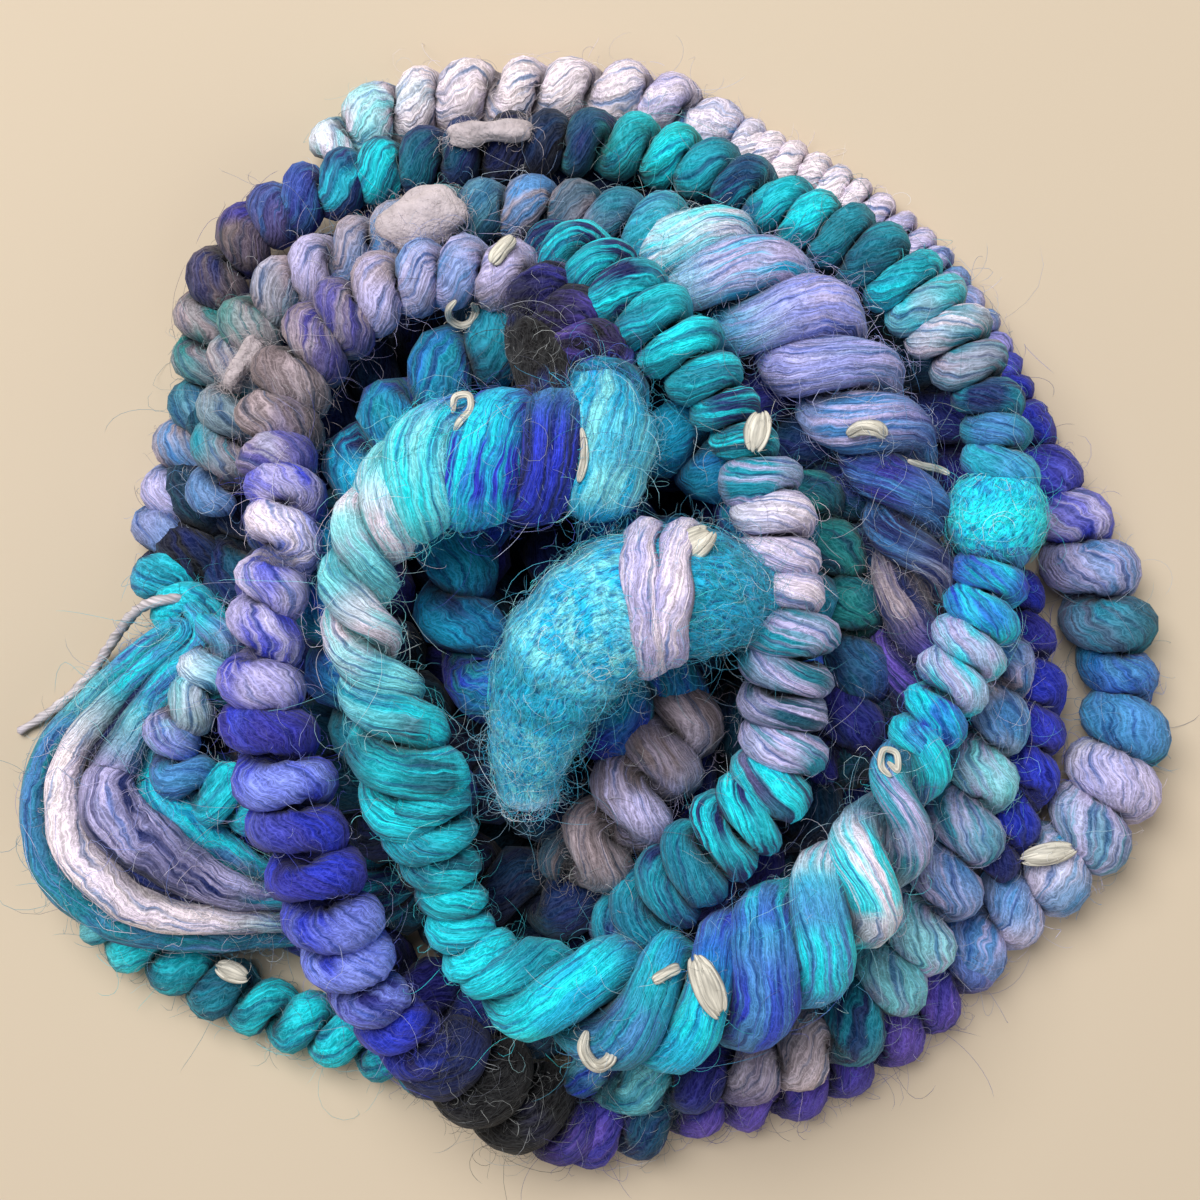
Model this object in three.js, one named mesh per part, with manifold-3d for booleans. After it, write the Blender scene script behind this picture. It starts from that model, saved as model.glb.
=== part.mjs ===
import * as THREE from 'three';
import { mergeVertices } from 'three/addons/utils/BufferGeometryUtils.js';
import Module from 'manifold-3d';

// A heap of thick coil-spun art yarn, in millimetres, +Z up, lying on a table at z = 0.
// The plan is drawn as seen from an eye straight above the heap, so a point nearer the
// eye is drawn larger: toHeap() turns a plan point and its height into a real place.
const EYE_HEIGHT = 300;
const PLAN_LEVEL = 12;
const PLAN_CENTRE = { east: -1.7, north: -1.7 };

// Spinning: a bead is one turn of the soft outer single round the core.
const SIDES = 7;
const BEAD_CREST = 1.05;
const BEAD_GROOVE = 0.86;
const BEAD_LEAN = 0.22;
const LUMP = 0.05;
const LUMP_PER_RING = 1.7;
const LUMPS_ROUND = 2;
const SETTLE = 0.9;
const END_TAPER = 0.55;
const ON_TABLE = 0;

// Fit: pieces that touch keep this clearance.
const SEAT_GAP = 0.3;

// Inner turns that carry the heap: plain spirals, coarse because little of them shows.
const INNER_SIDES = 6;
const INNER_STEP = 12;
const INNER_STEP_ANGLE = 0.6;
const INNER_ROWS_PER_TURN = 12;
const INNER_TURNS = [
  { from: 61.5, to: 58.5, turns: 0.32, start: 185, height: ON_TABLE, half: 6 },
  { from: 54, to: 56, turns: 0.48, start: -40, height: ON_TABLE, half: 5.6 },
  { from: 52, to: 3.4, turns: 3.74, start: 155, height: ON_TABLE, half: 6.2 },
  { from: 47, to: 3.5, turns: 3.35, start: 120, height: 16.5, half: 6.2 },
  { from: 30, to: 9, turns: 1.6, start: 240, height: 27, half: 6.2 },
];

// The loose end: a thin limp tail of the core.
const TAIL_DIAMETER = 1.8;
const TAIL_SIDES = 8;
const TAIL_STEPS = 18;

// Stretches of the yarn in the order they were laid down, each a row for every bend:
// [east, north, height of the centre, half thickness]. pitch is the length of a bead.
const BACK = {
  pitch: 7.2,
  rows: [
    [-38, 61, 6, 4.5],
    [-34, 66, ON_TABLE, 5],
    [-23, 70, ON_TABLE, 5.3],
    [-12, 71, ON_TABLE, 5.2],
    [-1, 71, ON_TABLE, 5],
    [8, 70, ON_TABLE, 4.8],
    [16, 66, ON_TABLE, 4.5],
    [24, 61.5, ON_TABLE, 4.1],
    [32, 57.5, ON_TABLE, 4],
    [41, 51.5, ON_TABLE, 4],
    [50, 41, ON_TABLE, 4.2],
    [57, 28, ON_TABLE, 4.4],
  ],
};
const RIGHT_LOOP = {
  pitch: 7.8,
  rows: [
    [61, 20, ON_TABLE, 4.8],
    [65, 13, ON_TABLE, 5.5],
    [69, 3, ON_TABLE, 7],
    [72, -6, ON_TABLE, 6.5],
    [73, -12, ON_TABLE, 5],
    [73, -19, ON_TABLE, 7],
    [71, -27, ON_TABLE, 7.4],
    [67, -34, ON_TABLE, 7],
    [60.5, -40, ON_TABLE, 6.5],
    [54, -46, ON_TABLE, 6],
  ],
};
const FRONT_FOOT = {
  pitch: 7.6,
  rows: [
    [48, -54, ON_TABLE, 5],
    [40, -61, ON_TABLE, 5],
    [32, -66, ON_TABLE, 5],
    [24, -69, ON_TABLE, 5.2],
    [15, -70, ON_TABLE, 5],
    [8, -72.5, ON_TABLE, 5.2],
    [0, -74, ON_TABLE, 5.5],
    [-8, -72, 8, 7.2],
    [-15, -68, 13, 7.5],
    [-22, -64, 19, 6.5],
  ],
};
const LEFT_CLIMB = {
  pitch: 5.8,
  rows: [
    [-28, -60, 25, 4.8],
    [-32, -55.5, 29, 5],
    [-36, -48, 33, 6.5],
    [-39, -40, 36, 6.6],
    [-41.5, -34, 37, 6.3],
    [-44, -26, 37.5, 6.8],
    [-46.5, -18, 38, 6.3],
    [-47.5, -9, 38, 5.4],
    [-46.5, -1, 38, 5],
    [-44.5, 8, 37, 5.2],
    [-44, 16, 35, 5.4],
  ],
};
const BROW = {
  pitch: 5.6,
  rows: [
    [-45, 23, 32, 6],
    [-43, 31, 30.5, 6],
    [-38, 37.5, 30, 5.8],
    [-30, 43.5, 30, 5.3],
    [-22, 45.5, 30.5, 5],
    [-14, 45.5, 31, 5],
    [-7, 42, 33, 5.2],
    [-2, 36, 36, 5.2],
    [1, 28, 40, 5.4],
    [1, 23, 41, 5],
  ],
};
const CROWN = {
  pitch: 7.5,
  rows: [
    [4.5, 21.5, 40.5, 6.2],
    [-1, 21.5, 43, 8],
    [-9, 20, 44, 8.6],
    [-18, 19.5, 44, 9],
    [-25, 17, 44, 8],
    [-31, 11, 43.5, 5.8],
    [-33.5, 4, 43, 5.2],
    [-33.5, -4, 42, 5],
    [-31, -12, 41, 5.2],
    [-28.5, -19, 40, 6.8],
    [-26.5, -25, 38.5, 7.8],
    [-24, -31.5, 36, 6.4],
    [-21.5, -39, 33, 4.9],
    [-18.5, -48, 31, 4.5],
  ],
};
const FRONT_ROPE = {
  pitch: 8.6,
  rows: [
    [-12, -53.5, 31.5, 6.2],
    [-4, -55.5, 32, 8.8],
    [4, -56.5, 32, 9],
    [12, -56, 32, 9.3],
    [21, -52.5, 32, 9.6],
    [29, -46.5, 31.5, 9],
    [36, -39.5, 31, 7.8],
    [41, -31, 30, 6.2],
    [43.5, -23.5, 29, 5.2],
  ],
};
const RIGHT_WALL = {
  pitch: 5.4,
  rows: [
    [46.5, -17, 28, 4.9],
    [50.5, -9, 27.5, 5.6],
    [54, 0, 27, 5.5],
    [55, 8, 26.5, 5.2],
    [55.5, 14, 26, 6.4],
    [55.8, 21, 25.5, 4.9],
    [54, 29, 25, 4.7],
    [49, 37, 24.5, 5.9],
    [43, 44, 24, 5.9],
    [36, 49.5, 23.5, 5.3],
    [29, 53, 22, 4.9],
  ],
};
const BACK_WALL = {
  pitch: 5.8,
  rows: [
    [20, 58, 18.5, 4.7],
    [9, 62.5, 15, 5],
    [-1, 64, 14, 5],
    [-11, 63.5, 13.5, 5],
    [-22, 62, 13, 5],
    [-32, 59.5, 12.5, 5],
    [-42, 56, 12, 4.9],
  ],
};
const LEFT_FOOT = {
  pitch: 6.4,
  rows: [
    [-48.5, 51.5, 10, 5],
    [-53.5, 44.5, 8, 5],
    [-55, 36, 6, 5.2],
    [-55, 29, ON_TABLE, 5.2],
    [-57.5, 22, ON_TABLE, 5],
    [-60, 13, ON_TABLE, 5],
    [-61.5, 6, 5.5, 5],
    [-59.5, 0.5, 8.5, 4.8],
  ],
};
const LEFT_SLUB = {
  pitch: 9,
  rows: [
    [-56, -5, 12, 5],
    [-61, -10, 12, 6],
    [-66.5, -17, 11.5, 7.5],
    [-70, -24.5, 11, 10],
    [-68.5, -32, 12, 12.5],
    [-62.5, -37, 11.8, 12],
    [-55, -40.5, 11, 9],
    [-47.5, -42.5, 10, 6.2],
    [-38, -42, 10, 5.5],
    [-26, -39, 11, 5.5],
  ],
};
const INNER_LEFT = {
  pitch: 6,
  rows: [
    [-54, 13, 14, 4.6],
    [-52.5, 22, 16.5, 4.8],
    [-51, 30, 18, 4.8],
    [-48, 40, 19.5, 5],
    [-41, 45.5, 21, 4.9],
    [-31.5, 50, 22, 4.8],
    [-21, 53.5, 22, 4.7],
    [-10.5, 55, 22, 4.6],
    [-2, 54, 22, 4.6],
    [5, 52, 23.5, 5.4],
  ],
};
const RIGHT_PUFF = {
  pitch: 9,
  rows: [
    [12, 49.5, 25, 7.4],
    [20, 44, 26, 8.4],
    [29, 37, 26.5, 8.5],
    [36, 27.5, 26, 8],
    [41.5, 19, 25.5, 6.6],
    [43.3, 10.5, 25, 6],
    [44, 2, 24, 5.8],
    [43, -7, 21, 5.4],
    [40, -17, 17, 5.2],
  ],
};
const CASCADE = {
  pitch: 5.4,
  rows: [
    [-8, 49, 25, 4.6],
    [-2, 47, 31, 5.4],
    [4, 42, 34.5, 6],
    [11.5, 35, 36, 5.8],
    [16.5, 28.5, 36, 4.8],
    [19.5, 23, 36, 4],
    [22.3, 17, 36.5, 5.7],
    [25, 9.5, 37, 5.4],
    [25.3, 2, 37, 5.3],
    [26.5, -6, 37, 6.8],
    [25.6, -14, 36, 6],
    [25.6, -21, 35, 6],
    [23, -27.5, 34, 6],
    [17, -33.5, 33, 6.2],
    [11, -39, 31, 6],
    [5.5, -44, 27, 5.5],
    [1, -48, 22, 5.2],
  ],
};
const HEART_SLUB = {
  pitch: 10,
  rows: [
    [-10, -28.5, 33, 3.7],
    [-10.2, -23.5, 36, 4.4],
    [-9, -18, 39, 5.8],
    [-7.2, -12, 42, 7.4],
    [-3.6, -6, 44, 8.4],
    [1.8, -1.6, 45, 8.6],
    [7.6, 0.6, 45, 8.3],
    [13.5, 1, 42, 8],
    [18.5, 0.6, 37, 6.8],
    [22.5, 0.2, 31, 5],
  ],
};
const BROWN_TURN = {
  pitch: 7.5,
  rows: [
    [13, -13, 27, 6],
    [9.5, -20, 28, 6.4],
    [5.6, -26.6, 28, 6.8],
    [0.7, -33.6, 27, 6.6],
    [-6, -38.5, 24, 5.4],
  ],
};
const SMALL_BEADS = {
  pitch: 6.5,
  rows: [
    [58, 3, 9, 4],
    [59.5, -4, 9.5, 4],
    [61.2, -12, 10, 4],
    [61, -21, 10.5, 4.1],
    [58, -31, 11, 4.2],
    [54, -38, 10.5, 4.2],
  ],
};
const UNDER_RIGHT = {
  pitch: 8,
  rows: [
    [57, -6, 15, 4.3],
    [55.8, -14.5, 16, 4.6],
    [54, -22, 16, 5.4],
    [51.5, -30.5, 15.5, 6],
    [48, -39, 14.5, 6.4],
    [43, -48.5, 13, 6.4],
    [36.5, -58, 11.5, 6],
    [26.5, -64, 10.5, 5.4],
    [16, -66.5, 10, 5],
    [5, -67.5, 9.5, 4.8],
  ],
};
const LOWER_LEFT = {
  pitch: 6.4,
  rows: [
    [-71, -44.5, ON_TABLE, 4.6],
    [-62, -49.4, ON_TABLE, 4.9],
    [-54, -53.7, ON_TABLE, 4.9],
    [-44, -58.3, ON_TABLE, 4.8],
    [-35, -61.5, ON_TABLE, 4.8],
    [-27, -64, ON_TABLE, 4.7],
    [-18, -66.5, ON_TABLE, 4.6],
  ],
};
const DEEP_RIGHT = {
  pitch: 10,
  rows: [
    [28, 17, 22, 5],
    [31.5, 8, 22, 5],
    [35, -3, 22, 5.2],
    [35.5, -14, 21.5, 5.2],
    [32, -25, 21, 5],
  ],
};
const HOOK = {
  pitch: 10,
  rows: [
    [-53.5, -3, 15, 4.2],
    [-54.6, -7.5, 16, 4.4],
    [-55.2, -12.8, 16.5, 4.4],
    [-58.8, -16, 16.5, 4.4],
    [-60, -21, 16, 4.2],
    [-57, -26, 16, 4.8],
    [-51.5, -27.5, 15, 5],
    [-45, -29, 13, 5],
  ],
};

// Runs of stretches that follow on from one another without a break.
const RUNS = [
  [BACK, RIGHT_LOOP, FRONT_FOOT, LEFT_CLIMB, BROW],
  [CROWN, FRONT_ROPE, RIGHT_WALL, BACK_WALL, LEFT_FOOT, LEFT_SLUB],
  [INNER_LEFT, RIGHT_PUFF],
  [CASCADE],
  [HEART_SLUB],
  [BROWN_TURN],
  [SMALL_BEADS],
  [UNDER_RIGHT],
  [LOWER_LEFT],
  [DEEP_RIGHT],
  [HOOK],
];

// Route of the loose end over the left foot and down to the table: [east, north, height].
const TAIL_ROUTE = [
  [-57.5, 0.3, 11.5],
  [-59, 0.2, 13.8],
  [-61.2, 0, 14.4],
  [-63.4, -0.6, 13.2],
  [-65.4, -2, 10],
  [-67.2, -4.3, 6],
  [-69, -7, 3],
  [-71, -10, 1.4],
  [-73.5, -12.8, 0.95],
  [-76.2, -15.1, 0.95],
  [-79, -17, 0.95],
  [-81.6, -18.6, 0.95],
];

// Locks and nubs spun in, each lying on a stretch: its run, plan place, size and turn.
const ADD_INS = [
  { name: 'silk_leaf', run: 4, east: 12.4, north: 7.2, long: 7.4, wide: 4.8, thick: 3.6, turn: 38 },
  { name: 'silk_drop', run: 3, east: 22, north: 23.6, long: 5.4, wide: 4, thick: 3.4, turn: 80 },
  { name: 'felt_bone', run: 1, east: -15.4, north: 65.5, long: 13, wide: 5, thick: 4, turn: 6 },
  { name: 'felt_patch', run: 2, east: -25, north: 53.5, long: 13, wide: 8.6, thick: 4.6, turn: 15 },
  { name: 'felt_lock', run: 2, east: -50, north: 33.5, long: 8.6, wide: 3.4, thick: 3, turn: 55 },
  { name: 'white_lock', run: 0, east: 62.7, north: -35.5, long: 8, wide: 3.8, thick: 3, turn: 12 },
  { name: 'cream_nub', run: 8, east: -51.5, north: -52, long: 5, wide: 3.6, thick: 3, turn: -20 },
  { name: 'front_lock', run: 1, east: 15.1, north: -54, long: 8.6, wide: 4.6, thick: 3.4, turn: -65 },
];
const ADD_IN_SIDES = 12;
const ADD_IN_RINGS = 7;
const ADD_IN_SINK = 0.35;

// Fineness: samples along a line, and how near two corners are to be one.
const CURVE_DIVISIONS_PER_ROW = 24;
const SURFACE_SAMPLES = 600;
const SAME_CORNER = 1e-4;

const COLOURS = {
  yarn: 0x3f7f9c,
  loose_end: 0xa9a59c,
  silk: 0xd9d2c2,
  felt: 0xc9c0d2,
};
const FIBRE_ROUGHNESS = 0.95;

const wasm = await Module();
wasm.setup();

function toHeap([east, north, height]) {
  const spread = (EYE_HEIGHT - height) / (EYE_HEIGHT - PLAN_LEVEL);
  const x = east * spread - PLAN_CENTRE.east;
  const y = north * spread - PLAN_CENTRE.north;
  return new THREE.Vector3(x, y, height);
}

function solidOf(geometry) {
  const bare = geometry.clone();
  bare.deleteAttribute('normal');
  bare.deleteAttribute('uv');
  const merged = mergeVertices(bare, SAME_CORNER);
  const mesh = new wasm.Mesh({
    numProp: 3,
    vertProperties: new Float32Array(merged.attributes.position.array),
    triVerts: new Uint32Array(merged.index.array),
  });
  return new wasm.Manifold(mesh);
}

function geometryOf(solid) {
  const mesh = solid.getMesh();
  const geometry = new THREE.BufferGeometry();
  geometry.setAttribute('position', new THREE.BufferAttribute(mesh.vertProperties, 3));
  geometry.setIndex(new THREE.BufferAttribute(mesh.triVerts, 1));
  geometry.computeVertexNormals();
  return geometry;
}

// The main body of a solid: crumbs and sealed pockets between the strands are dropped.
function mainBody(solid) {
  const bodies = solid.decompose();
  return bodies.reduce((best, body) => (body.volume() > best.volume() ? body : best));
}

// A strand's line through the heap, with its thickness and bead pitch along the way.
function strandLine(rows) {
  const points = rows.map(({ spot }) => toHeap(spot));
  const curve = new THREE.CatmullRomCurve3(points, false, 'centripetal');
  curve.arcLengthDivisions = rows.length * CURVE_DIVISIONS_PER_ROW;
  const column = (u, name) => {
    const along = curve.getUtoTmapping(u) * (rows.length - 1);
    const first = Math.min(Math.floor(along), rows.length - 2);
    return THREE.MathUtils.lerp(rows[first][name], rows[first + 1][name], along - first);
  };
  return {
    curve,
    length: curve.getLength(),
    half: (u) => column(u, 'half'),
    pitch: (u) => column(u, 'pitch'),
  };
}

// The height of a strand's centre: one on the table has settled a little under its own weight.
function centreHeight(height, half) {
  return height === ON_TABLE ? half * SETTLE : height;
}

function runLine(stretches) {
  const rows = stretches.flatMap(({ pitch, rows: bends }) =>
    bends.map(([east, north, height, half]) => {
      const spot = [east, north, centreHeight(height, half)];
      return { spot, half, pitch };
    }),
  );
  return strandLine(rows);
}

function innerLine({ from, to, turns, start, height, half }) {
  const count = Math.ceil(turns * INNER_ROWS_PER_TURN);
  const rows = Array.from({ length: count + 1 }, (_, index) => {
    const share = index / count;
    const angle = THREE.MathUtils.degToRad(start + share * turns * 360);
    const radius = THREE.MathUtils.lerp(from, to, share);
    const step = Math.min(INNER_STEP, INNER_STEP_ANGLE * radius);
    const east = radius * Math.cos(angle);
    const north = radius * Math.sin(angle);
    return { spot: [east, north, centreHeight(height, half)], half, pitch: 2 * step };
  });
  return strandLine(rows);
}

// Places along a line where a ring goes: two to a bead, one on its crest, one in its groove.
function ringPlaces(line) {
  const places = [0];
  let u = 0;
  while (u < 1) {
    u += line.pitch(u) / 2 / line.length;
    places.push(u);
  }
  const last = places[places.length - 1];
  return places.map((place) => place / last);
}

// A closed tube of beads along a line. A cylinder is bent onto the line ring by ring,
// with each ring leaning so that the grooves slant as a coil's do.
function strandSolid(line, sides, beaded, grow = 0) {
  const places = ringPlaces(line);
  const steps = places.length - 1;
  const tube = new THREE.CylinderGeometry(1, 1, steps, sides, steps, false);
  const spots = places.map((u) => line.curve.getPointAt(u));
  const aims = places.map((u) => line.curve.getTangentAt(u));
  const across = [new THREE.Vector3().crossVectors(aims[0], new THREE.Vector3(0, 0, 1)).normalize()];
  for (let ring = 1; ring <= steps; ring += 1) {
    const carried = across[ring - 1].clone();
    across.push(carried.addScaledVector(aims[ring], -carried.dot(aims[ring])).normalize());
  }
  const position = tube.attributes.position;
  for (let corner = 0; corner < position.count; corner += 1) {
    const ring = Math.round(steps / 2 - position.getY(corner));
    const side = new THREE.Vector2(position.getX(corner), position.getZ(corner));
    const angle = side.angle();
    const up = new THREE.Vector3().crossVectors(aims[ring], across[ring]);
    const ends = ring === 0 || ring === steps ? END_TAPER : 1;
    const bead = ring % 2 === 0 ? BEAD_GROOVE : BEAD_CREST;
    const lump = 1 + LUMP * Math.sin(LUMP_PER_RING * ring + LUMPS_ROUND * angle);
    const shape = beaded ? bead * lump : 1;
    const radius = line.half(places[ring]) * shape * ends + grow;
    const lean = beaded && ends === 1 ? BEAD_LEAN * radius * side.x : 0;
    const spot = spots[ring].clone();
    spot.addScaledVector(across[ring], radius * side.x);
    spot.addScaledVector(up, radius * side.y);
    spot.addScaledVector(aims[ring], lean);
    position.setXYZ(corner, spot.x, spot.y, spot.z);
  }
  return solidOf(tube);
}

function belowTable() {
  const size = 2 * EYE_HEIGHT;
  const block = new THREE.BoxGeometry(size, size, size);
  block.translate(0, 0, -size / 2);
  return solidOf(block);
}

function joined(solids) {
  return solids.reduce((whole, solid) => whole.add(solid));
}

const runLines = RUNS.map(runLine);

function yarnSolid() {
  const strands = runLines.map((line) => strandSolid(line, SIDES, true));
  const inner = INNER_TURNS.map((spiral) => strandSolid(innerLine(spiral), INNER_SIDES, false));
  return mainBody(joined([...strands, ...inner]).subtract(belowTable()));
}

// The runs, grown by the seat's gap, for cutting what lies against them.
function seatSolid() {
  return joined(runLines.map((line) => strandSolid(line, SIDES, true, SEAT_GAP)));
}

function tailSolid() {
  const route = new THREE.CatmullRomCurve3(TAIL_ROUTE.map(toHeap), false, 'centripetal');
  const section = new THREE.Shape();
  section.absarc(0, 0, TAIL_DIAMETER / 2, 0, 2 * Math.PI);
  const tube = new THREE.ExtrudeGeometry(section, {
    steps: TAIL_STEPS,
    curveSegments: TAIL_SIDES / 2,
    extrudePath: route,
  });
  return solidOf(tube);
}

// Height of a run's surface over a plan place, from the nearest point of its line.
function surfaceHeight(line, east, north) {
  let best = { gap: Infinity };
  for (let index = 0; index <= SURFACE_SAMPLES; index += 1) {
    const u = index / SURFACE_SAMPLES;
    const spot = line.curve.getPointAt(u);
    const place = toHeap([east, north, spot.z]);
    const gap = Math.hypot(spot.x - place.x, spot.y - place.y);
    if (gap < best.gap) best = { gap, height: spot.z, half: line.half(u) };
  }
  const rise = Math.sqrt(Math.max(best.half ** 2 - best.gap ** 2, 0));
  return best.height + rise;
}

function addInSolid({ run, east, north, long, wide, thick, turn }) {
  const lump = new THREE.SphereGeometry(0.5, ADD_IN_SIDES, ADD_IN_RINGS);
  const height = surfaceHeight(runLines[run], east, north) + ADD_IN_SINK * thick;
  const place = toHeap([east, north, height]);
  lump.rotateX(Math.PI / 2);
  lump.scale(long, wide, thick);
  lump.rotateZ(THREE.MathUtils.degToRad(turn));
  lump.translate(place.x, place.y, place.z);
  return solidOf(lump);
}

function named(name, solid, colour) {
  const material = new THREE.MeshStandardMaterial({
    color: colour,
    roughness: FIBRE_ROUGHNESS,
    metalness: 0,
  });
  const mesh = new THREE.Mesh(geometryOf(solid), material);
  mesh.name = name;
  return mesh;
}

const seat = seatSolid();

function seated(solid) {
  return mainBody(solid.subtract(seat));
}

const heap = new THREE.Group();
heap.add(named('yarn', yarnSolid(), COLOURS.yarn));
heap.add(named('loose_end', seated(tailSolid()), COLOURS.loose_end));
for (const piece of ADD_INS) {
  const colour = piece.name.startsWith('felt') ? COLOURS.felt : COLOURS.silk;
  heap.add(named(piece.name, seated(addInSolid(piece)), colour));
}

export default heap;
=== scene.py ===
"""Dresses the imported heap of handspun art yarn: wound strands, slubs, locks, nubs and fuzz."""

import math
from typing import NamedTuple

import bmesh
import bpy
import numpy as np
from bpy.props import FloatProperty, FloatVectorProperty, IntProperty, PointerProperty
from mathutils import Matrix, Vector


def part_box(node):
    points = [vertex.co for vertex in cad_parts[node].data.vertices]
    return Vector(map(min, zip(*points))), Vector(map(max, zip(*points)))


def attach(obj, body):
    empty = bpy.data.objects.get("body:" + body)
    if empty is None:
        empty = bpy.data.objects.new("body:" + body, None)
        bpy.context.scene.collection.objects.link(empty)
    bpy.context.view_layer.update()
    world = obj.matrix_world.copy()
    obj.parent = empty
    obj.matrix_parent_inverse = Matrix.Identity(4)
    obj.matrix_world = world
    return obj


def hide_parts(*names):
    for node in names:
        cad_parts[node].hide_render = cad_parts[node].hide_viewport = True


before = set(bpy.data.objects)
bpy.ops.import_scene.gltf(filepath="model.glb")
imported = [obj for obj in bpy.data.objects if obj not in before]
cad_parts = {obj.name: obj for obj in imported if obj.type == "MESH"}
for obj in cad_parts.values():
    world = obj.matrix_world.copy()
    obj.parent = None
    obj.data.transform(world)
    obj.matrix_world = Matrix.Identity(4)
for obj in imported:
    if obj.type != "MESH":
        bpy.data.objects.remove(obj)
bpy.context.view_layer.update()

bl_info = {
    "name": "Handspun art yarn",
    "version": (1, 0, 0),
    "blender": (4, 5, 0),
    "location": "View3D > Sidebar > Yarn",
    "description": "Winds, dyes and fuzzes a heap of coil-spun art yarn",
    "category": "Object",
}

MM = 0.001
UPWARD = (0.0, 0.0, 1.0)

# The plan is drawn as seen from an eye straight above the heap, in millimetres.
EYE_HEIGHT = 300.0
PLAN_LEVEL = 12.0
PLAN_WIDTH = 168.0
PLAN_CENTRE = (-1.7, -1.7)

# A strand that has TABLE for its height lies with its centre at this share of its half thickness.
TABLE = 0.0
SETTLE = 0.9

# How low a wound single and the knots of a loose fibre may lie, over the table.
LOWEST = 0.05 * MM
HAIR_LOWEST = 0.15 * MM

# Seeds of the random draws; a piece that is one of a row adds its number.
SEEDS = dict(loose_end=11, fuzz=40, inner_turns=70, bands=90, add_ins=200, felt_hairs=300, silk_hairs=310)

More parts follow.
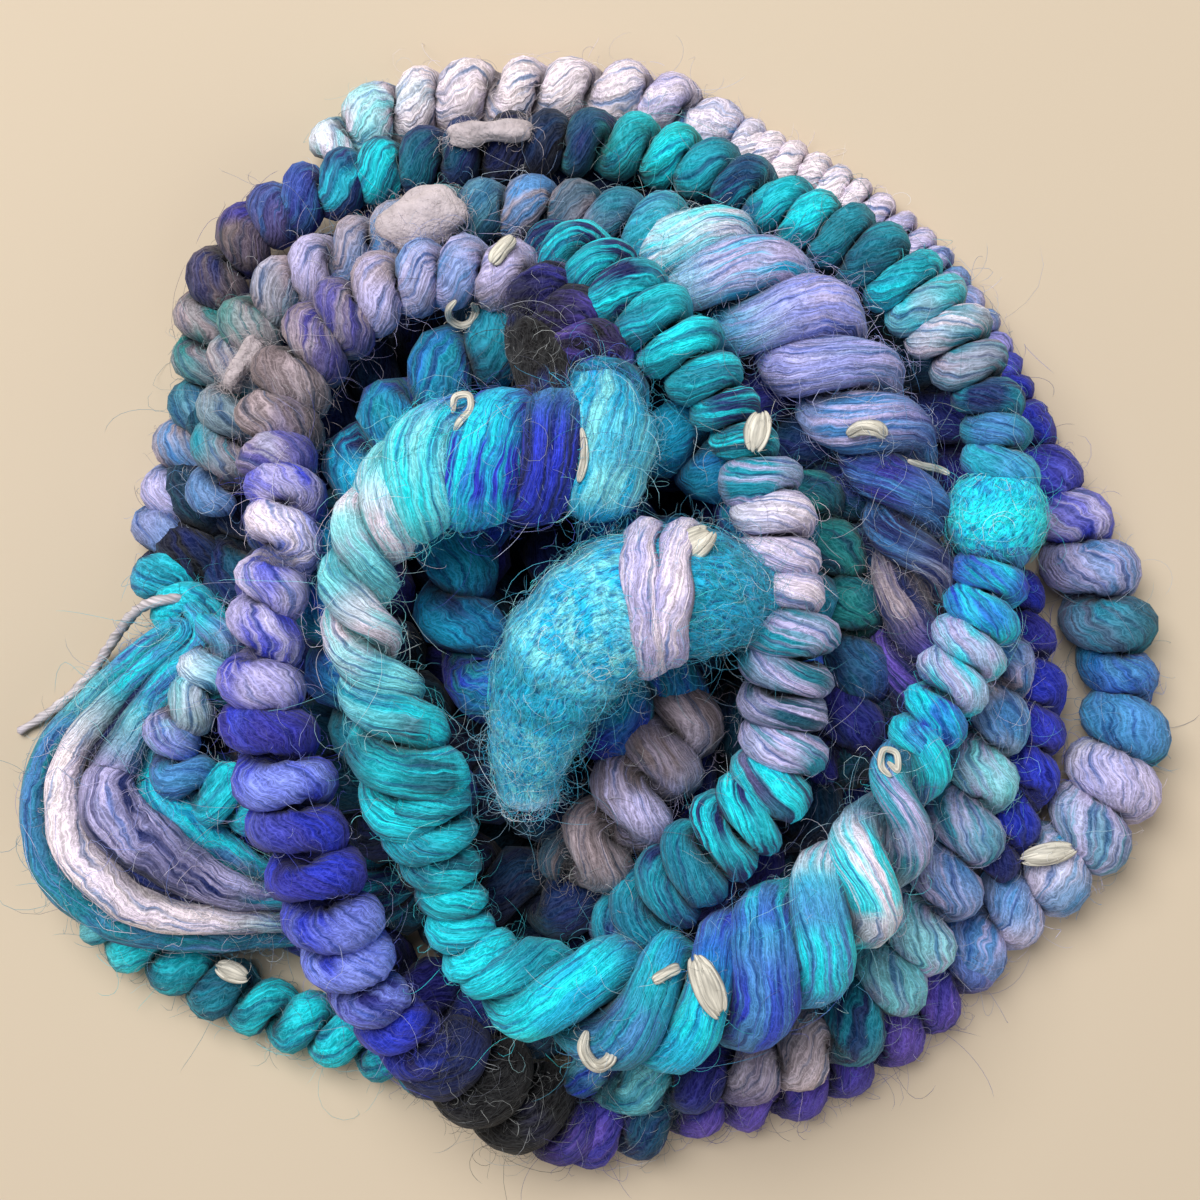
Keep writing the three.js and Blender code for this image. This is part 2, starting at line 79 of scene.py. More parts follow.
# Stretches of the yarn. lobe is the length of a bead along the strand, plies the number of
# singles wound together, slant the angle of the fibres to the single and fluff how hairy it is.
# Some also give how squarely the turns cross the top (square), how broad the singles are (full),
# how far the dyes wander (lively), or that the singles keep level, turned by an angle (phase).
# A row for every bend: east, north, height of the centre, half thickness, dye, streak.
STRETCHES = {
    "back": dict(lobe=7.2, plies=1, slant=70, fluff=0.5, rows=(
        (-38, 61, 6, 4.5, "aqua", "pale"),
        (-34, 66, TABLE, 5, "pale", "aqua"),
        (-23, 70, TABLE, 5.3, "pale", "felt"),
        (-12, 71, TABLE, 5.2, "pale", "felt"),
        (-1, 71, TABLE, 5, "pale", "felt"),
        (8, 70, TABLE, 4.8, "lavender", "pale"),
        (16, 66, TABLE, 4.5, "steel", "pale"),
    )),
    "back_thin": dict(lobe=3.6, plies=1, slant=62, fluff=0.5, rows=(
        (24, 61.5, TABLE, 4.1, "pale", "felt"),
        (32, 57.5, TABLE, 4, "pale", "felt"),
        (41, 51.5, TABLE, 4, "lavender", "pale"),
        (50, 41, TABLE, 4.2, "steel", "lavender"),
        (57, 28, TABLE, 4.4, "indigo", "royal"),
    )),
    "right_loop": dict(lobe=7.8, plies=1, slant=68, fluff=0.6, rows=(
        (61, 20, TABLE, 4.8, "indigo", "royal"),
        (65, 13, TABLE, 5.5, "royal", "lavender"),
        (69, 3, TABLE, 7, "steel", "lavender"),
        (72, -6, TABLE, 6.5, "teal", "deep_teal"),
        (73, -12, TABLE, 5, "royal", "steel"),
        (73, -19, TABLE, 7, "teal", "steel"),
        (71, -27, TABLE, 7.4, "pale", "lavender"),
        (67, -34, TABLE, 7, "lavender", "teal"),
        (60.5, -40, TABLE, 6.5, "pale", "steel"),
        (54, -46, TABLE, 6, "lavender", "steel"),
    )),
    "front_foot": dict(lobe=7.6, plies=1, slant=60, fluff=1.2, rows=(
        (48, -54, TABLE, 5, "indigo", "violet"),
        (40, -61, TABLE, 5, "indigo", "violet"),
        (32, -66, TABLE, 5, "violet", "indigo"),
        (24, -69, TABLE, 5.2, "indigo", "violet"),
        (15, -70, TABLE, 5, "indigo", "violet"),
        (8, -72.5, TABLE, 5.2, "deep_teal", "navy"),
        (0, -74, TABLE, 5.5, "violet", "indigo"),
    )),
    "black_turn": dict(lobe=8.5, plies=1, slant=40, fluff=2.2, rows=(
        (-8, -72, 8, 7.2, "black", "black"),
        (-15, -68, 13, 7.5, "black", "black"),
        (-22, -64, 19, 6.5, "black", "navy"),
    )),
    "left_climb": dict(lobe=6.4, plies=1, slant=66, fluff=1.0, rows=(
        (-28, -60, 25, 4.8, "indigo", "royal"),
        (-32, -55.5, 29, 5, "indigo", "periwinkle"),
        (-36, -48, 33, 6.5, "royal", "periwinkle"),
        (-39, -40, 36, 6.6, "royal", "indigo"),
        (-41.5, -34, 37, 6.3, "royal", "indigo"),
        (-44, -26, 37.5, 6.8, "royal", "periwinkle"),
        (-46.5, -18, 38, 6.3, "royal", "indigo"),
        (-47.5, -9, 38, 5.4, "royal", "lavender"),
        (-46.5, -1, 38, 5, "royal", "lavender"),
        (-44.5, 8, 37, 5.2, "periwinkle", "pale"),
        (-44, 16, 35, 5.4, "lavender", "royal"),
    )),
    "brow": dict(lobe=5.6, plies=1, slant=60, fluff=1.7, rows=(
        (-45, 23, 32, 6, "taupe", "brown"),
        (-43, 31, 30.5, 6, "taupe", "brown"),
        (-38, 37.5, 30, 5.8, "taupe", "indigo"),
        (-30, 43.5, 30, 5.3, "taupe", "lavender"),
        (-22, 45.5, 30.5, 5, "lavender", "steel"),
        (-14, 45.5, 31, 5, "taupe", "lavender"),
        (-7, 42, 33, 5.2, "indigo", "black"),
        (-2, 36, 36, 5.2, "violet", "black"),
        (1, 28, 40, 5.4, "cyan", "deep_teal"),
        (1, 23, 41, 5, "cyan", "aqua"),
    )),
    "crown_top": dict(lobe=7.6, plies=2, slant=14, fluff=3.0, square=0.3, full=1.35, lively=0, rows=(
        (4.5, 21.5, 40.5, 6.2, "cyan", "aqua"),
        (-1, 21.5, 43, 8, "cyan", "aqua"),
        (-9, 20, 44, 8.6, "navy", "royal"),
        (-18, 19.5, 44, 9, "royal", "turquoise"),
        (-25, 17, 44, 8, "aqua", "turquoise"),
    )),
    "crown": dict(lobe=7, plies=2, slant=14, fluff=1.5, rows=(
        (-31, 11, 43.5, 5.8, "aqua", "pale"),
        (-33.5, 4, 43, 5.2, "aqua", "teal"),
        (-33.5, -4, 42, 5, "aqua", "pale"),
        (-31, -12, 41, 5.2, "aqua", "teal"),
        (-28.5, -19, 40, 6.8, "deep_teal", "turquoise"),
        (-26.5, -25, 38.5, 7.8, "turquoise", "deep_teal"),
    )),
    "crown_tail": dict(lobe=4.8, plies=1, slant=42, fluff=1.5, rows=(
        (-24, -31.5, 36, 6.4, "turquoise", "teal"),
        (-21.5, -39, 33, 4.9, "turquoise", "deep_teal"),
        (-18.5, -48, 31, 4.5, "teal", "turquoise"),
    )),
    "front_rope": dict(lobe=9, plies=2, slant=15, fluff=1.1, rows=(
        (-12, -53.5, 31.5, 6.2, "turquoise", "teal"),
        (-4, -55.5, 32, 8.8, "turquoise", "cyan"),
        (4, -56.5, 32, 9, "steel", "teal"),
        (12, -56, 32, 9.3, "cyan", "turquoise"),
        (21, -52.5, 32, 9.6, "royal", "steel"),
        (29, -46.5, 31.5, 9, "steel", "turquoise"),
        (36, -39.5, 31, 7.8, "turquoise", "pale"),
        (41, -31, 30, 6.2, "lavender", "teal"),
        (43.5, -23.5, 29, 5.2, "steel", "turquoise"),
    )),
    "right_wall": dict(lobe=4.9, plies=1, slant=45, fluff=0.9, rows=(
        (46.5, -17, 28, 4.9, "royal", "turquoise"),
        (50.5, -9, 27.5, 5.6, "turquoise", "lavender"),
        (54, 0, 27, 5.5, "turquoise", "royal"),
        (55, 8, 26.5, 5.2, "teal", "steel"),
        (55.5, 14, 26, 6.4, "turquoise", "turquoise"),
        (55.8, 21, 25.5, 4.9, "teal", "steel"),
        (54, 29, 25, 4.7, "teal", "navy"),
        (49, 37, 24.5, 5.9, "teal", "pale"),
        (43, 44, 24, 5.9, "turquoise", "teal"),
        (36, 49.5, 23.5, 5.3, "teal", "deep_teal"),
        (29, 53, 22, 4.9, "deep_teal", "turquoise"),
    )),
    "back_wall": dict(lobe=5.8, plies=1, slant=55, fluff=0.5, rows=(
        (20, 58, 18.5, 4.7, "teal", "navy"),
        (9, 62.5, 15, 5, "green_teal", "turquoise"),
        (-1, 64, 14, 5, "green_teal", "navy"),
        (-11, 63.5, 13.5, 5, "navy", "black"),
        (-22, 62, 13, 5, "deep_teal", "navy"),
        (-32, 59.5, 12.5, 5, "turquoise", "navy"),
        (-42, 56, 12, 4.9, "steel", "indigo"),
    )),
    "left_foot": dict(lobe=6.4, plies=1, slant=60, fluff=0.6, rows=(
        (-48.5, 51.5, 10, 5, "indigo", "brown"),
        (-53.5, 44.5, 8, 5, "navy", "brown"),
        (-55, 36, 6, 5.2, "green_teal", "taupe"),
        (-55, 29, TABLE, 5.2, "teal", "deep_teal"),
        (-57.5, 22, TABLE, 5, "taupe", "steel"),
        (-60, 13, TABLE, 5, "steel", "lavender"),
        (-61.5, 6, 5.5, 5, "navy", "steel"),
        (-59.5, 0.5, 8.5, 4.8, "teal", "turquoise"),
    )),
    "left_slub": dict(lobe=900, plies=7, slant=5, fluff=2.2, level=True, phase=14, rows=(
        (-56, -5, 12, 5, "turquoise", "steel"),
        (-61, -10, 12, 6, "steel", "turquoise"),
        (-66.5, -17, 11.5, 7.5, "aqua", "teal"),
        (-70, -24.5, 11, 10, "lavender", "steel"),
        (-68.5, -32, 12, 12.5, "periwinkle", "pale"),
        (-62.5, -37, 11.8, 12, "periwinkle", "pale"),
        (-55, -40.5, 11, 9, "steel", "pale"),
        (-47.5, -42.5, 10, 6.2, "navy", "teal"),
        (-38, -42, 10, 5.5, "navy", "teal"),
        (-26, -39, 11, 5.5, "navy", "teal"),
    )),
    "inner_left": dict(lobe=6, plies=1, slant=58, fluff=0.8, rows=(
        (-54, 13, 14, 4.6, "taupe", "steel"),
        (-52.5, 22, 16.5, 4.8, "taupe", "teal"),
        (-51, 30, 18, 4.8, "teal", "taupe"),
        (-48, 40, 19.5, 5, "taupe", "green_teal"),
        (-41, 45.5, 21, 4.9, "taupe", "lavender"),
        (-31.5, 50, 22, 4.8, "steel", "taupe"),
        (-21, 53.5, 22, 4.7, "aqua", "deep_teal"),
        (-10.5, 55, 22, 4.6, "taupe", "steel"),
        (-2, 54, 22, 4.6, "taupe", "deep_teal"),
        (5, 52, 23.5, 5.4, "steel", "teal"),
    )),
    "right_puff": dict(lobe=9, plies=2, slant=18, fluff=2.4, lively=0, rows=(
        (12, 49.5, 25, 7.4, "pale", "turquoise"),
        (20, 44, 26, 8.4, "cyan", "lavender"),
        (29, 37, 26.5, 8.5, "lavender", "periwinkle"),
        (36, 27.5, 26, 8, "steel", "lavender"),
        (41.5, 19, 25.5, 6.6, "steel", "indigo"),
        (43.3, 10.5, 25, 6, "navy", "steel"),
        (44, 2, 24, 5.8, "navy", "taupe"),
        (43, -7, 21, 5.4, "navy", "violet"),
        (40, -17, 17, 5.2, "navy", "indigo"),
    )),
    "cascade": dict(lobe=5, plies=1, slant=32, fluff=0.8, lively=0, rows=(
        (-8, 49, 25, 4.6, "navy", "teal"),
        (-2, 47, 31, 5.4, "navy", "turquoise"),
        (4, 42, 34.5, 6, "navy", "turquoise"),
        (11.5, 35, 36, 5.8, "turquoise", "teal"),
        (16.5, 28.5, 36, 4.8, "navy", "turquoise"),
        (19.5, 23, 36, 4, "deep_teal", "turquoise"),
        (22.3, 17, 36.5, 5.7, "teal", "lavender"),
        (25, 9.5, 37, 5.4, "pale", "lavender"),
        (25.3, 2, 37, 5.3, "pale", "lavender"),
        (26.5, -6, 37, 6.8, "teal", "lavender"),
        (25.6, -14, 36, 6, "deep_teal", "lavender"),
        (25.6, -21, 35, 6, "lavender", "teal"),
        (23, -27.5, 34, 6, "navy", "turquoise"),
        (17, -33.5, 33, 6.2, "navy", "turquoise"),
        (11, -39, 31, 6, "teal", "navy"),
        (5.5, -44, 27, 5.5, "teal", "navy"),
        (1, -48, 22, 5.2, "deep_teal", "navy"),
    )),
    "heart_slub": dict(lobe=60, plies=0, slant=10, fluff=4.5, rows=(
        (-10, -28.5, 33, 3.7, "cyan", "pale"),
        (-10.2, -23.5, 36, 4.4, "cyan", "aqua"),
        (-9, -18, 39, 5.8, "cyan", "aqua"),
        (-7.2, -12, 42, 7.4, "cyan", "teal"),
        (-3.6, -6, 44, 8.4, "cyan", "aqua"),
        (1.8, -1.6, 45, 8.6, "cyan", "aqua"),
        (7.6, 0.6, 45, 8.3, "cyan", "teal"),
        (13.5, 1, 42, 8, "cyan", "teal"),
        (18.5, 0.6, 37, 6.8, "teal", "cyan"),
        (22.5, 0.2, 31, 5, "deep_teal", "teal"),
    )),
    "wall_ball": dict(lobe=20, plies=0, slant=35, fluff=1.0, rows=(
        (55, 4.6, 26.4, 2, "turquoise", "teal"),
        (55.1, 6, 26.3, 4.4, "turquoise", "cyan"),
        (55.2, 8.4, 26.2, 6.2, "turquoise", "cyan"),
        (55.3, 11.4, 26.1, 6.9, "turquoise", "turquoise"),
        (55.4, 14.4, 26, 6.4, "turquoise", "cyan"),
        (55.5, 16.8, 25.8, 4.6, "turquoise", "cyan"),
        (55.6, 18.2, 25.7, 2, "turquoise", "teal"),
    )),
    "crown_ball": dict(lobe=30, plies=0, slant=12, fluff=4.0, rows=(
        (-0.2, 34.5, 36, 1.2, "navy", "royal"),
        (-0.1, 31, 39, 3.2, "royal", "cyan"),
        (0, 27, 41.6, 5.8, "cyan", "aqua"),
        (-0.4, 21.8, 43.6, 7, "cyan", "aqua"),
        (-0.8, 16.4, 43.6, 6.4, "aqua", "cyan"),
        (-1.4, 12.9, 42.8, 4.4, "cyan", "teal"),
        (-1.8, 11.2, 42, 1.6, "teal", "cyan"),
    )),
    "black_tuft": dict(lobe=20, plies=0, slant=12, fluff=3.0, rows=(
        (-12, 40, 33, 1.4, "black", "navy"),
        (-9.8, 36, 36.5, 3.2, "black", "black"),
        (-7.8, 31.5, 40, 3.6, "black", "black"),
        (-6.6, 27, 44, 2.8, "black", "navy"),
        (-6.2, 22, 49, 1.4, "black", "deep_teal"),
    )),
    "brown_turn": dict(lobe=7.5, plies=1, slant=50, fluff=2.4, rows=(
        (13, -13, 27, 6, "taupe", "brown"),
        (9.5, -20, 28, 6.4, "lavender", "brown"),
        (5.6, -26.6, 28, 6.8, "brown", "lavender"),
        (0.7, -33.6, 27, 6.6, "brown", "taupe"),
        (-6, -38.5, 24, 5.4, "brown", "deep_teal"),
    )),
    "small_beads": dict(lobe=6.5, plies=1, slant=60, fluff=0.7, rows=(
        (58, 3, 9, 4, "indigo", "royal"),
        (59.5, -4, 9.5, 4, "royal", "indigo"),
        (61.2, -12, 10, 4, "indigo", "royal"),
        (61, -21, 10.5, 4.1, "indigo", "royal"),
        (58, -31, 11, 4.2, "royal", "navy"),
        (54, -38, 10.5, 4.2, "indigo", "navy"),
    )),
    "under_right": dict(lobe=8, plies=1, slant=58, fluff=0.9, rows=(
        (57, -6, 15, 4.3, "lavender", "steel"),
        (55.8, -14.5, 16, 4.6, "pale", "steel"),
        (54, -22, 16, 5.4, "lavender", "aqua"),
        (51.5, -30.5, 15.5, 6, "lavender", "teal"),
        (48, -39, 14.5, 6.4, "steel", "lavender"),
        (43, -48.5, 13, 6.4, "lavender", "aqua"),
        (36.5, -58, 11.5, 6, "teal", "navy"),
        (26.5, -64, 10.5, 5.4, "pale", "taupe"),
        (16, -66.5, 10, 5, "navy", "indigo"),
        (5, -67.5, 9.5, 4.8, "teal", "aqua"),
        (-4, -66.5, 10.5, 5, "deep_teal", "royal"),
    )),
    "lower_left": dict(lobe=6.4, plies=1, slant=58, fluff=0.8, rows=(
        (-71, -44.5, TABLE, 4.6, "teal", "aqua"),
        (-62, -49.4, TABLE, 4.9, "deep_teal", "turquoise"),
        (-54, -53.7, TABLE, 4.9, "teal", "deep_teal"),
        (-44, -58.3, TABLE, 4.8, "deep_teal", "turquoise"),
        (-35, -61.5, TABLE, 4.8, "teal", "turquoise"),
        (-27, -64, TABLE, 4.7, "deep_teal", "teal"),
        (-18, -66.5, TABLE, 4.6, "navy", "black"),
    )),
    "deep_right": dict(lobe=8, plies=1, slant=58, fluff=0.6, rows=(
        (28, 17, 22, 5, "green_teal", "deep_teal"),
        (31.5, 8, 22, 5, "green_teal", "deep_teal"),
        (35, -3, 22, 5.2, "deep_teal", "green_teal"),
        (35.5, -14, 21.5, 5.2, "navy", "indigo"),
        (32, -25, 21, 5, "navy", "indigo"),
    )),
    "hook": dict(lobe=5.6, plies=1, slant=50, fluff=1.2, rows=(
        (-53.5, -3, 15, 4.2, "turquoise", "steel"),
        (-54.6, -7.5, 16, 4.4, "steel", "pale"),
        (-55.2, -12.8, 16.5, 4.4, "teal", "turquoise"),
        (-58.8, -16, 16.5, 4.4, "pale", "taupe"),
        (-60, -21, 16, 4.2, "steel", "periwinkle"),
        (-57, -26, 16, 4.8, "teal", "steel"),
        (-51.5, -27.5, 15, 5, "teal", "turquoise"),
        (-45, -29, 13, 5, "navy", "teal"),
    )),
}

# How far a single turn crosses the top of the strand squarely instead of on the slant.
SQUARE = 0.5

# How far a single sways round its core as it is wound, in radians, and how far a level one does.
SWAY = 0.5
LEVEL_SWAY = 0.1

# Half a single's breadth and depth in shares of the spacing of its turns. The depth stays under
# a share of the strand's half thickness, and the single keeps another share off the core.
BREADTH = 0.53
DEPTH = 0.56
DEEPEST = 0.6
NEAREST = 0.2

# Fibre ridges round a single, as waves to its girth, and the steepest twist they follow, in radians.
RIDGE_WAVES = (2, 3, 4, 5, 7)
STEEPEST = 1.25

# Lengths along a single over which its ridges drift, its dyes blend and patches of the other dye
# come and go, and how far back along it the dye of a patch is taken from.
RIDGE_DRIFT = 9 * MM
DYE_BLEND = 8 * MM
DYE_PATCH = 7 * MM
PATCH_LAG = 14 * MM

# Runs of stretches that follow on from one another without a break.
RUNS = (
    ("back", "back_thin", "right_loop", "front_foot", "black_turn", "left_climb", "brow"),
    ("crown_top", "crown", "crown_tail", "front_rope", "right_wall", "back_wall", "left_foot", "left_slub"),
    ("inner_left", "right_puff"),
    ("cascade",),
    ("heart_slub",),
    ("wall_ball",),
    ("crown_ball",),
    ("black_tuft",),
    ("brown_turn",),
    ("small_beads",),
    ("under_right",),
    ("lower_left",),
    ("deep_right",),
    ("hook",),
)

# Buried turns: plain spirals from one radius to another, in millimetres and degrees.
INNER_TURNS = (
    dict(near=60.5, far=58, turns=0.28, start=78, height=TABLE, half=6),
    dict(near=61.5, far=58.5, turns=0.32, start=185, height=TABLE, half=6),
    dict(near=54, far=56, turns=0.48, start=-40, height=TABLE, half=5.6),
    dict(near=52, far=3.4, turns=3.74, start=155, height=TABLE, half=6.2),
    dict(near=47, far=3.5, turns=3.35, start=120, height=16.5, half=6.2),
    dict(near=39.5, far=36, turns=0.44, start=80, height=26.5, half=6, dyes=1),
    dict(near=28, far=9, turns=1.35, start=340, height=27, half=6.2, dyes=1),
)
INNER_DYES = (
    (("navy", "black"), ("deep_teal", "navy"), ("navy", "indigo"), ("black", "deep_teal")),
    (("teal", "royal"), ("deep_teal", "teal"), ("royal", "teal"), ("navy", "cyan")),
)
INNER_SPIN = dict(plies=1, lobe=9.0, slant=60)
INNER_ROWS = 12

# Buried turns hardly show, so their sections are further apart and have fewer points.
INNER_STEP = 2.6
INNER_SIDES = 8

# Singles of a slub, outermost first: the dyes over its middle in place of the rows' own, and
# how broad each is beside the others.
SLUB_SINGLES = {
    "left_slub": (
        ("teal", "steel", 1.1),
        ("pale", "felt", 0.74),
        ("lavender", "navy", 1.08),
        ("turquoise", "steel", 1.1),
        ("navy", "teal", 1.0),
        ("navy", "indigo", 1.0),
        ("deep_teal", "teal", 1.0),
    ),
}

# Where along a slub its singles' own dyes start, are full, begin to fade and have gone.
SLUB_SHARE = (0.22, 0.34, 0.66, 0.8)

# Stretches of matted wool.
FELTED = ("heart_slub", "wall_ball")

# Pale bands laid over the felted slub: where along it, in millimetres from its middle row.
SLUB_BANDS = dict(stretch="heart_slub", row=6, spots=(-0.8, 2.9), rise=4.0, half=2.4)
BAND_ROWS = 80
BAND_SLANT = 10

# Route of the loose end over the left foot and down to the table: east, north, height.
TAIL_ROUTE = (
    (-57.5, 0.3, 11.5),
    (-59, 0.2, 13.8),
    (-61.2, 0, 14.4),
    (-63.4, -0.6, 13.2),
    (-65.4, -2, 10),
    (-67.2, -4.3, 6),
    (-69, -7, 3),
    (-71, -10, 1.4),
    (-73.5, -12.8, 0.95),
    (-76.2, -15.1, 0.95),
    (-79, -17, 0.95),
    (-81.6, -18.6, 0.95),
)
TAIL_DIAMETER = 1.8
TAIL_SLANT = 32

# Locks and nubs that have a solid of their own: length, width, thickness and turn.
ADD_INS = {
    "silk_leaf": (7.4, 4.8, 3.6, 38),
    "silk_drop": (5.4, 4.0, 3.4, 80),
    "white_lock": (8.0, 3.8, 3.0, 12),
    "cream_nub": (5.0, 3.6, 3.0, -20),
    "front_lock": (8.6, 4.6, 3.4, -65),
    "felt_bone": (13.0, 5.0, 4.0, 6),
    "felt_patch": (13.0, 8.6, 4.6, 15),
    "felt_lock": (8.6, 3.4, 3.0, 55),
}

# Round lobes of a felt nub, and how far its middle is pinched in.
LUMP_LOBES = 14
PINCH = 0.12
PINCHED = {"felt_bone": 0.5}

# Strands of a lock: place across it, rise, girth, reach along it and slip, in shares of its sizes.
LOCK_STRANDS = (
    (0.0, -0.1, 0.78, 0.88, 0.0),
    (-0.28, 0.04, 0.3, 1.0, 0.03),
    (-0.12, 0.22, 0.26, 0.84, 0.12),
    (0.06, 0.16, 0.32, 0.94, -0.08),
    (0.27, 0.04, 0.3, 0.92, -0.02),
)
LOCK_ROWS = 30
LOCK_SLANT = 3

# How dark the streaks of silk are beside the silk itself.
SILK_STREAK = 0.85

# Small curls of silk lying on the yarn: their half thickness and their line in the plan.
SILK_CURLS = {
    "brow_ring": (0.5, (
        (-20.1, 42), (-21.1, 40.8), (-20.9, 39.2), (-19.5, 38.4), (-18, 38.9), (-17.4, 40.3), (-18, 41.6))),
    "crown_loop": (0.45, (
        (-20.6, 26), (-20.2, 28.4), (-18.4, 28.6), (-18.2, 26.6), (-19.6, 25), (-20.4, 23.6))),
    "crown_sliver": (0.45, ((-2.6, 24.2), (-2.2, 21.4), (-2.4, 18.6), (-3, 16.4))),
    "front_crescent": (0.75, ((-1.8, -60.2), (-2.2, -63), (-0.6, -65.2), (1.4, -64.4), (1.8, -61.6))),
    "front_tuft": (0.75, ((7.4, -53.4), (9.4, -52.2), (11.2, -51.4))),
    "puff_oval": (0.9, ((34.6, 23), (36.4, 24.2), (38.6, 24), (40, 22.8))),
    "puff_sliver": (0.45, ((43, 19.6), (45.2, 18.8), (47.6, 18.2), (49, 17.6))),
    "swirl_centre": (0.45, (
        (40.2, -22.6), (41.6, -23.8), (41.4, -21.4), (39.8, -21), (39.4, -23.2), (40.8, -24.8))),
    "small_nub": (0.95, ((-12.2, 50.9), (-13.2, 49.7), (-14.2, 48.4), (-15.1, 47.1))),
    "crown_bit": (0.5, ((-27, -1.4), (-26.6, -3.4), (-27, -4.8))),
}

# Strands of a curl: shift to the side and rise, in shares of its half thickness.
CURL_STRANDS = ((-0.62, 0.0), (0.0, 0.35), (0.62, 0.0))
CURL_SIDES = 10
CURL_SLANT = 8

# Loose fibres by kind: usual length in millimetres, how far they stand off, and knots in a fibre.
FLYAWAYS = {"flyaway": (6.0, 0.6, 10), "down": (3.4, 0.4, 6), "nap": (3.4, 0.4, 6)}
FELT_HAIR = (2.2, 0.5, 6)
SILK_HAIR = (2.6, 0.35, 6)

# Fibres that lie round a strand, loose or matted: usual length, curl and lightness.
LOOSE_WRAP = (7.0, 0.2, 1.7)
MATTED_WRAP = (5.0, 0.55, 3.2)
WRAP_KNOTS = 10

# Loose fibres that would reach higher than this, in millimetres, are left out.
FUZZ_TOP = 61.0

# How far the fibres of the wool wave from side to side, in millimetres, and the noise they follow.
WAVE = 1.8
WAVE_NOISE = (0.32, 2.0)

# Noise drawn along the fibres of wool: waves to a millimetre along and across them and detail,
# then the values between which it takes effect, and the effect at each of the two.
WOOL_NOISE = dict(
    bands=((0.05, 0.5, 4.0), (0.48, 0.58, 0.0, 1.0)),
    threads=((0.06, 1.3, 3.0), (0.55, 0.62, 0.0, 0.75)),
    # locks: painted shade that darkens the wool in the gaps between its fibre locks; the same noise also
    # gives relief.
    locks=((0.09, 1.6, 3.0), (0.34, 0.48, 0.85, 0.0)),
    strands=((0.13, 4.4, 3.0), (0.3, 0.7, 0.72, 1.38)),
    hairs=((0.2, 7.0, 1.0), (0.61, 0.7, 0.0, 0.65)),
)
SILK_NOISE = ((0.2, 2.8, 4.0), (0.34, 0.64, 0.5, 1.15))

# Noise through space: waves to a metre and detail.
PATCH_NOISE = (900.0, 1.0)
LUMP_NOISE = (420.0, 2.0)
MAT_NOISE = (2000.0, 5.0)
CLOUD_NOISE = (6.0, 3.0)

# Hair lines on wool: turn in degrees, waves to a millimetre along and across, and thickness.
HAIR_LINES = (
    (22, 0.22, 1.5, 0.036),
    (-20, 0.26, 1.3, 0.032),
    (75, 0.5, 1.3, 0.024),
    (-62, 0.55, 1.6, 0.024),
    (10, 0.8, 1.0, 0.028),
    (55, 1.1, 0.9, 0.026),
)
LINE_DETAIL = 1.5

# Wools: how strongly the hair lines show, and how much shorter felting makes the streaks.
WOOLS = {"dyed_wool": (0.5, 1.0), "felted_slub": (0.8, 9.0)}

# What wool is multiplied by for its painted shade in the gaps between locks and for its bright hairs, and
# the colours of bleached hairs.
PAINTED_LOCK_SHADE = (0.12, 0.26, 0.48, 1.0)
BRIGHT = (2.0, 2.0, 2.0, 1.0)
PALE_HAIR = (0.75, 0.78, 0.8, 1.0)
PALE_SHARE = 0.045
PALE_FLYAWAY = (0.7, 0.74, 0.78, 1.0)
BLEACHED = (0.7, 0.74, 0.76)

# Finish of each material: roughness, specular level and sheen, then the strength of its relief and
# how deep that is, in millimetres.
FINISHES = {
    "dyed_wool": (0.72, 0.1, 0.1, 0.7, 0.4),
    "felted_slub": (0.72, 0.1, 0.1, 0.7, 0.4),
    "loose_fibre": (0.5, 0.25, 0.1, 0.0, 0.0),
    "combed_silk": (0.42, 0.45, 0.15, 0.6, 0.25),
    "spun_thread": (0.7, 0.45, 0.3, 0.6, 0.25),
    "felted_wool": (0.95, 0.15, 0.35, 0.85, 0.4),
    "pale_table": (0.85, 0.5, 0.0, 0.0, 0.0),
}

# Lamps: place and size in metres, power in watts and colour. All aim at one spot in the heap.
LAMPS = {
    "window": ((-0.3, 0.42, 0.9), 0.7, 12.0, (1.0, 0.98, 0.95)),
    "bounce": ((0.6, -0.45, 0.6), 0.9, 2.0, (1.0, 0.96, 0.9)),
}
LAMP_AIM = (0.0, 0.0, 0.02)
SKY = (1.0, 0.985, 0.96, 1.0)
SKY_STRENGTH = 0.2
TABLE_HALF = 1.5
NEAR_CLIP = 0.01


def srgb(red, green, blue):
    """A screen colour, 0 to 255, as scene-linear values."""
    share = np.array((red, green, blue)) / 255.0
    return tuple(np.where(share <= 0.04045, share / 12.92, ((share + 0.055) / 1.055) ** 2.4))


def dye(name, red, green, blue):
    """A colour property for one dye bath."""
    return FloatVectorProperty(
        name=name,
        description=f"Colour of the {name.lower()} fibre",
        subtype="COLOR",
        size=3,
        min=0.0,
        max=1.0,
        default=srgb(red, green, blue),
    )


class YarnDyes(bpy.types.PropertyGroup):
    """The dye baths of the fibre."""

    turquoise: dye("Turquoise", 10, 200, 214)
    cyan: dye("Cyan", 8, 156, 196)
    teal: dye("Teal", 12, 126, 148)
    green_teal: dye("Green teal", 20, 116, 116)
    deep_teal: dye("Deep teal", 8, 70, 92)
    aqua: dye("Aqua", 112, 196, 206)
    steel: dye("Steel blue", 62, 120, 176)
    royal: dye("Royal blue", 30, 46, 176)
    indigo: dye("Indigo", 40, 38, 128)
    violet: dye("Violet", 88, 68, 158)
    periwinkle: dye("Periwinkle", 112, 126, 208)
    lavender: dye("Lavender", 164, 158, 198)
    pale: dye("Pale lavender", 208, 196, 212)
    taupe: dye("Taupe", 152, 138, 146)
    brown: dye("Brown", 96, 84, 88)
    navy: dye("Navy", 16, 30, 84)
    black: dye("Black", 10, 9, 13)
    silk: dye("Cream silk", 228, 223, 210)
    felt: dye("Lavender felt", 212, 200, 206)
    thread: dye("Core thread", 222, 214, 222)
    table: dye("Table", 212, 196, 174)


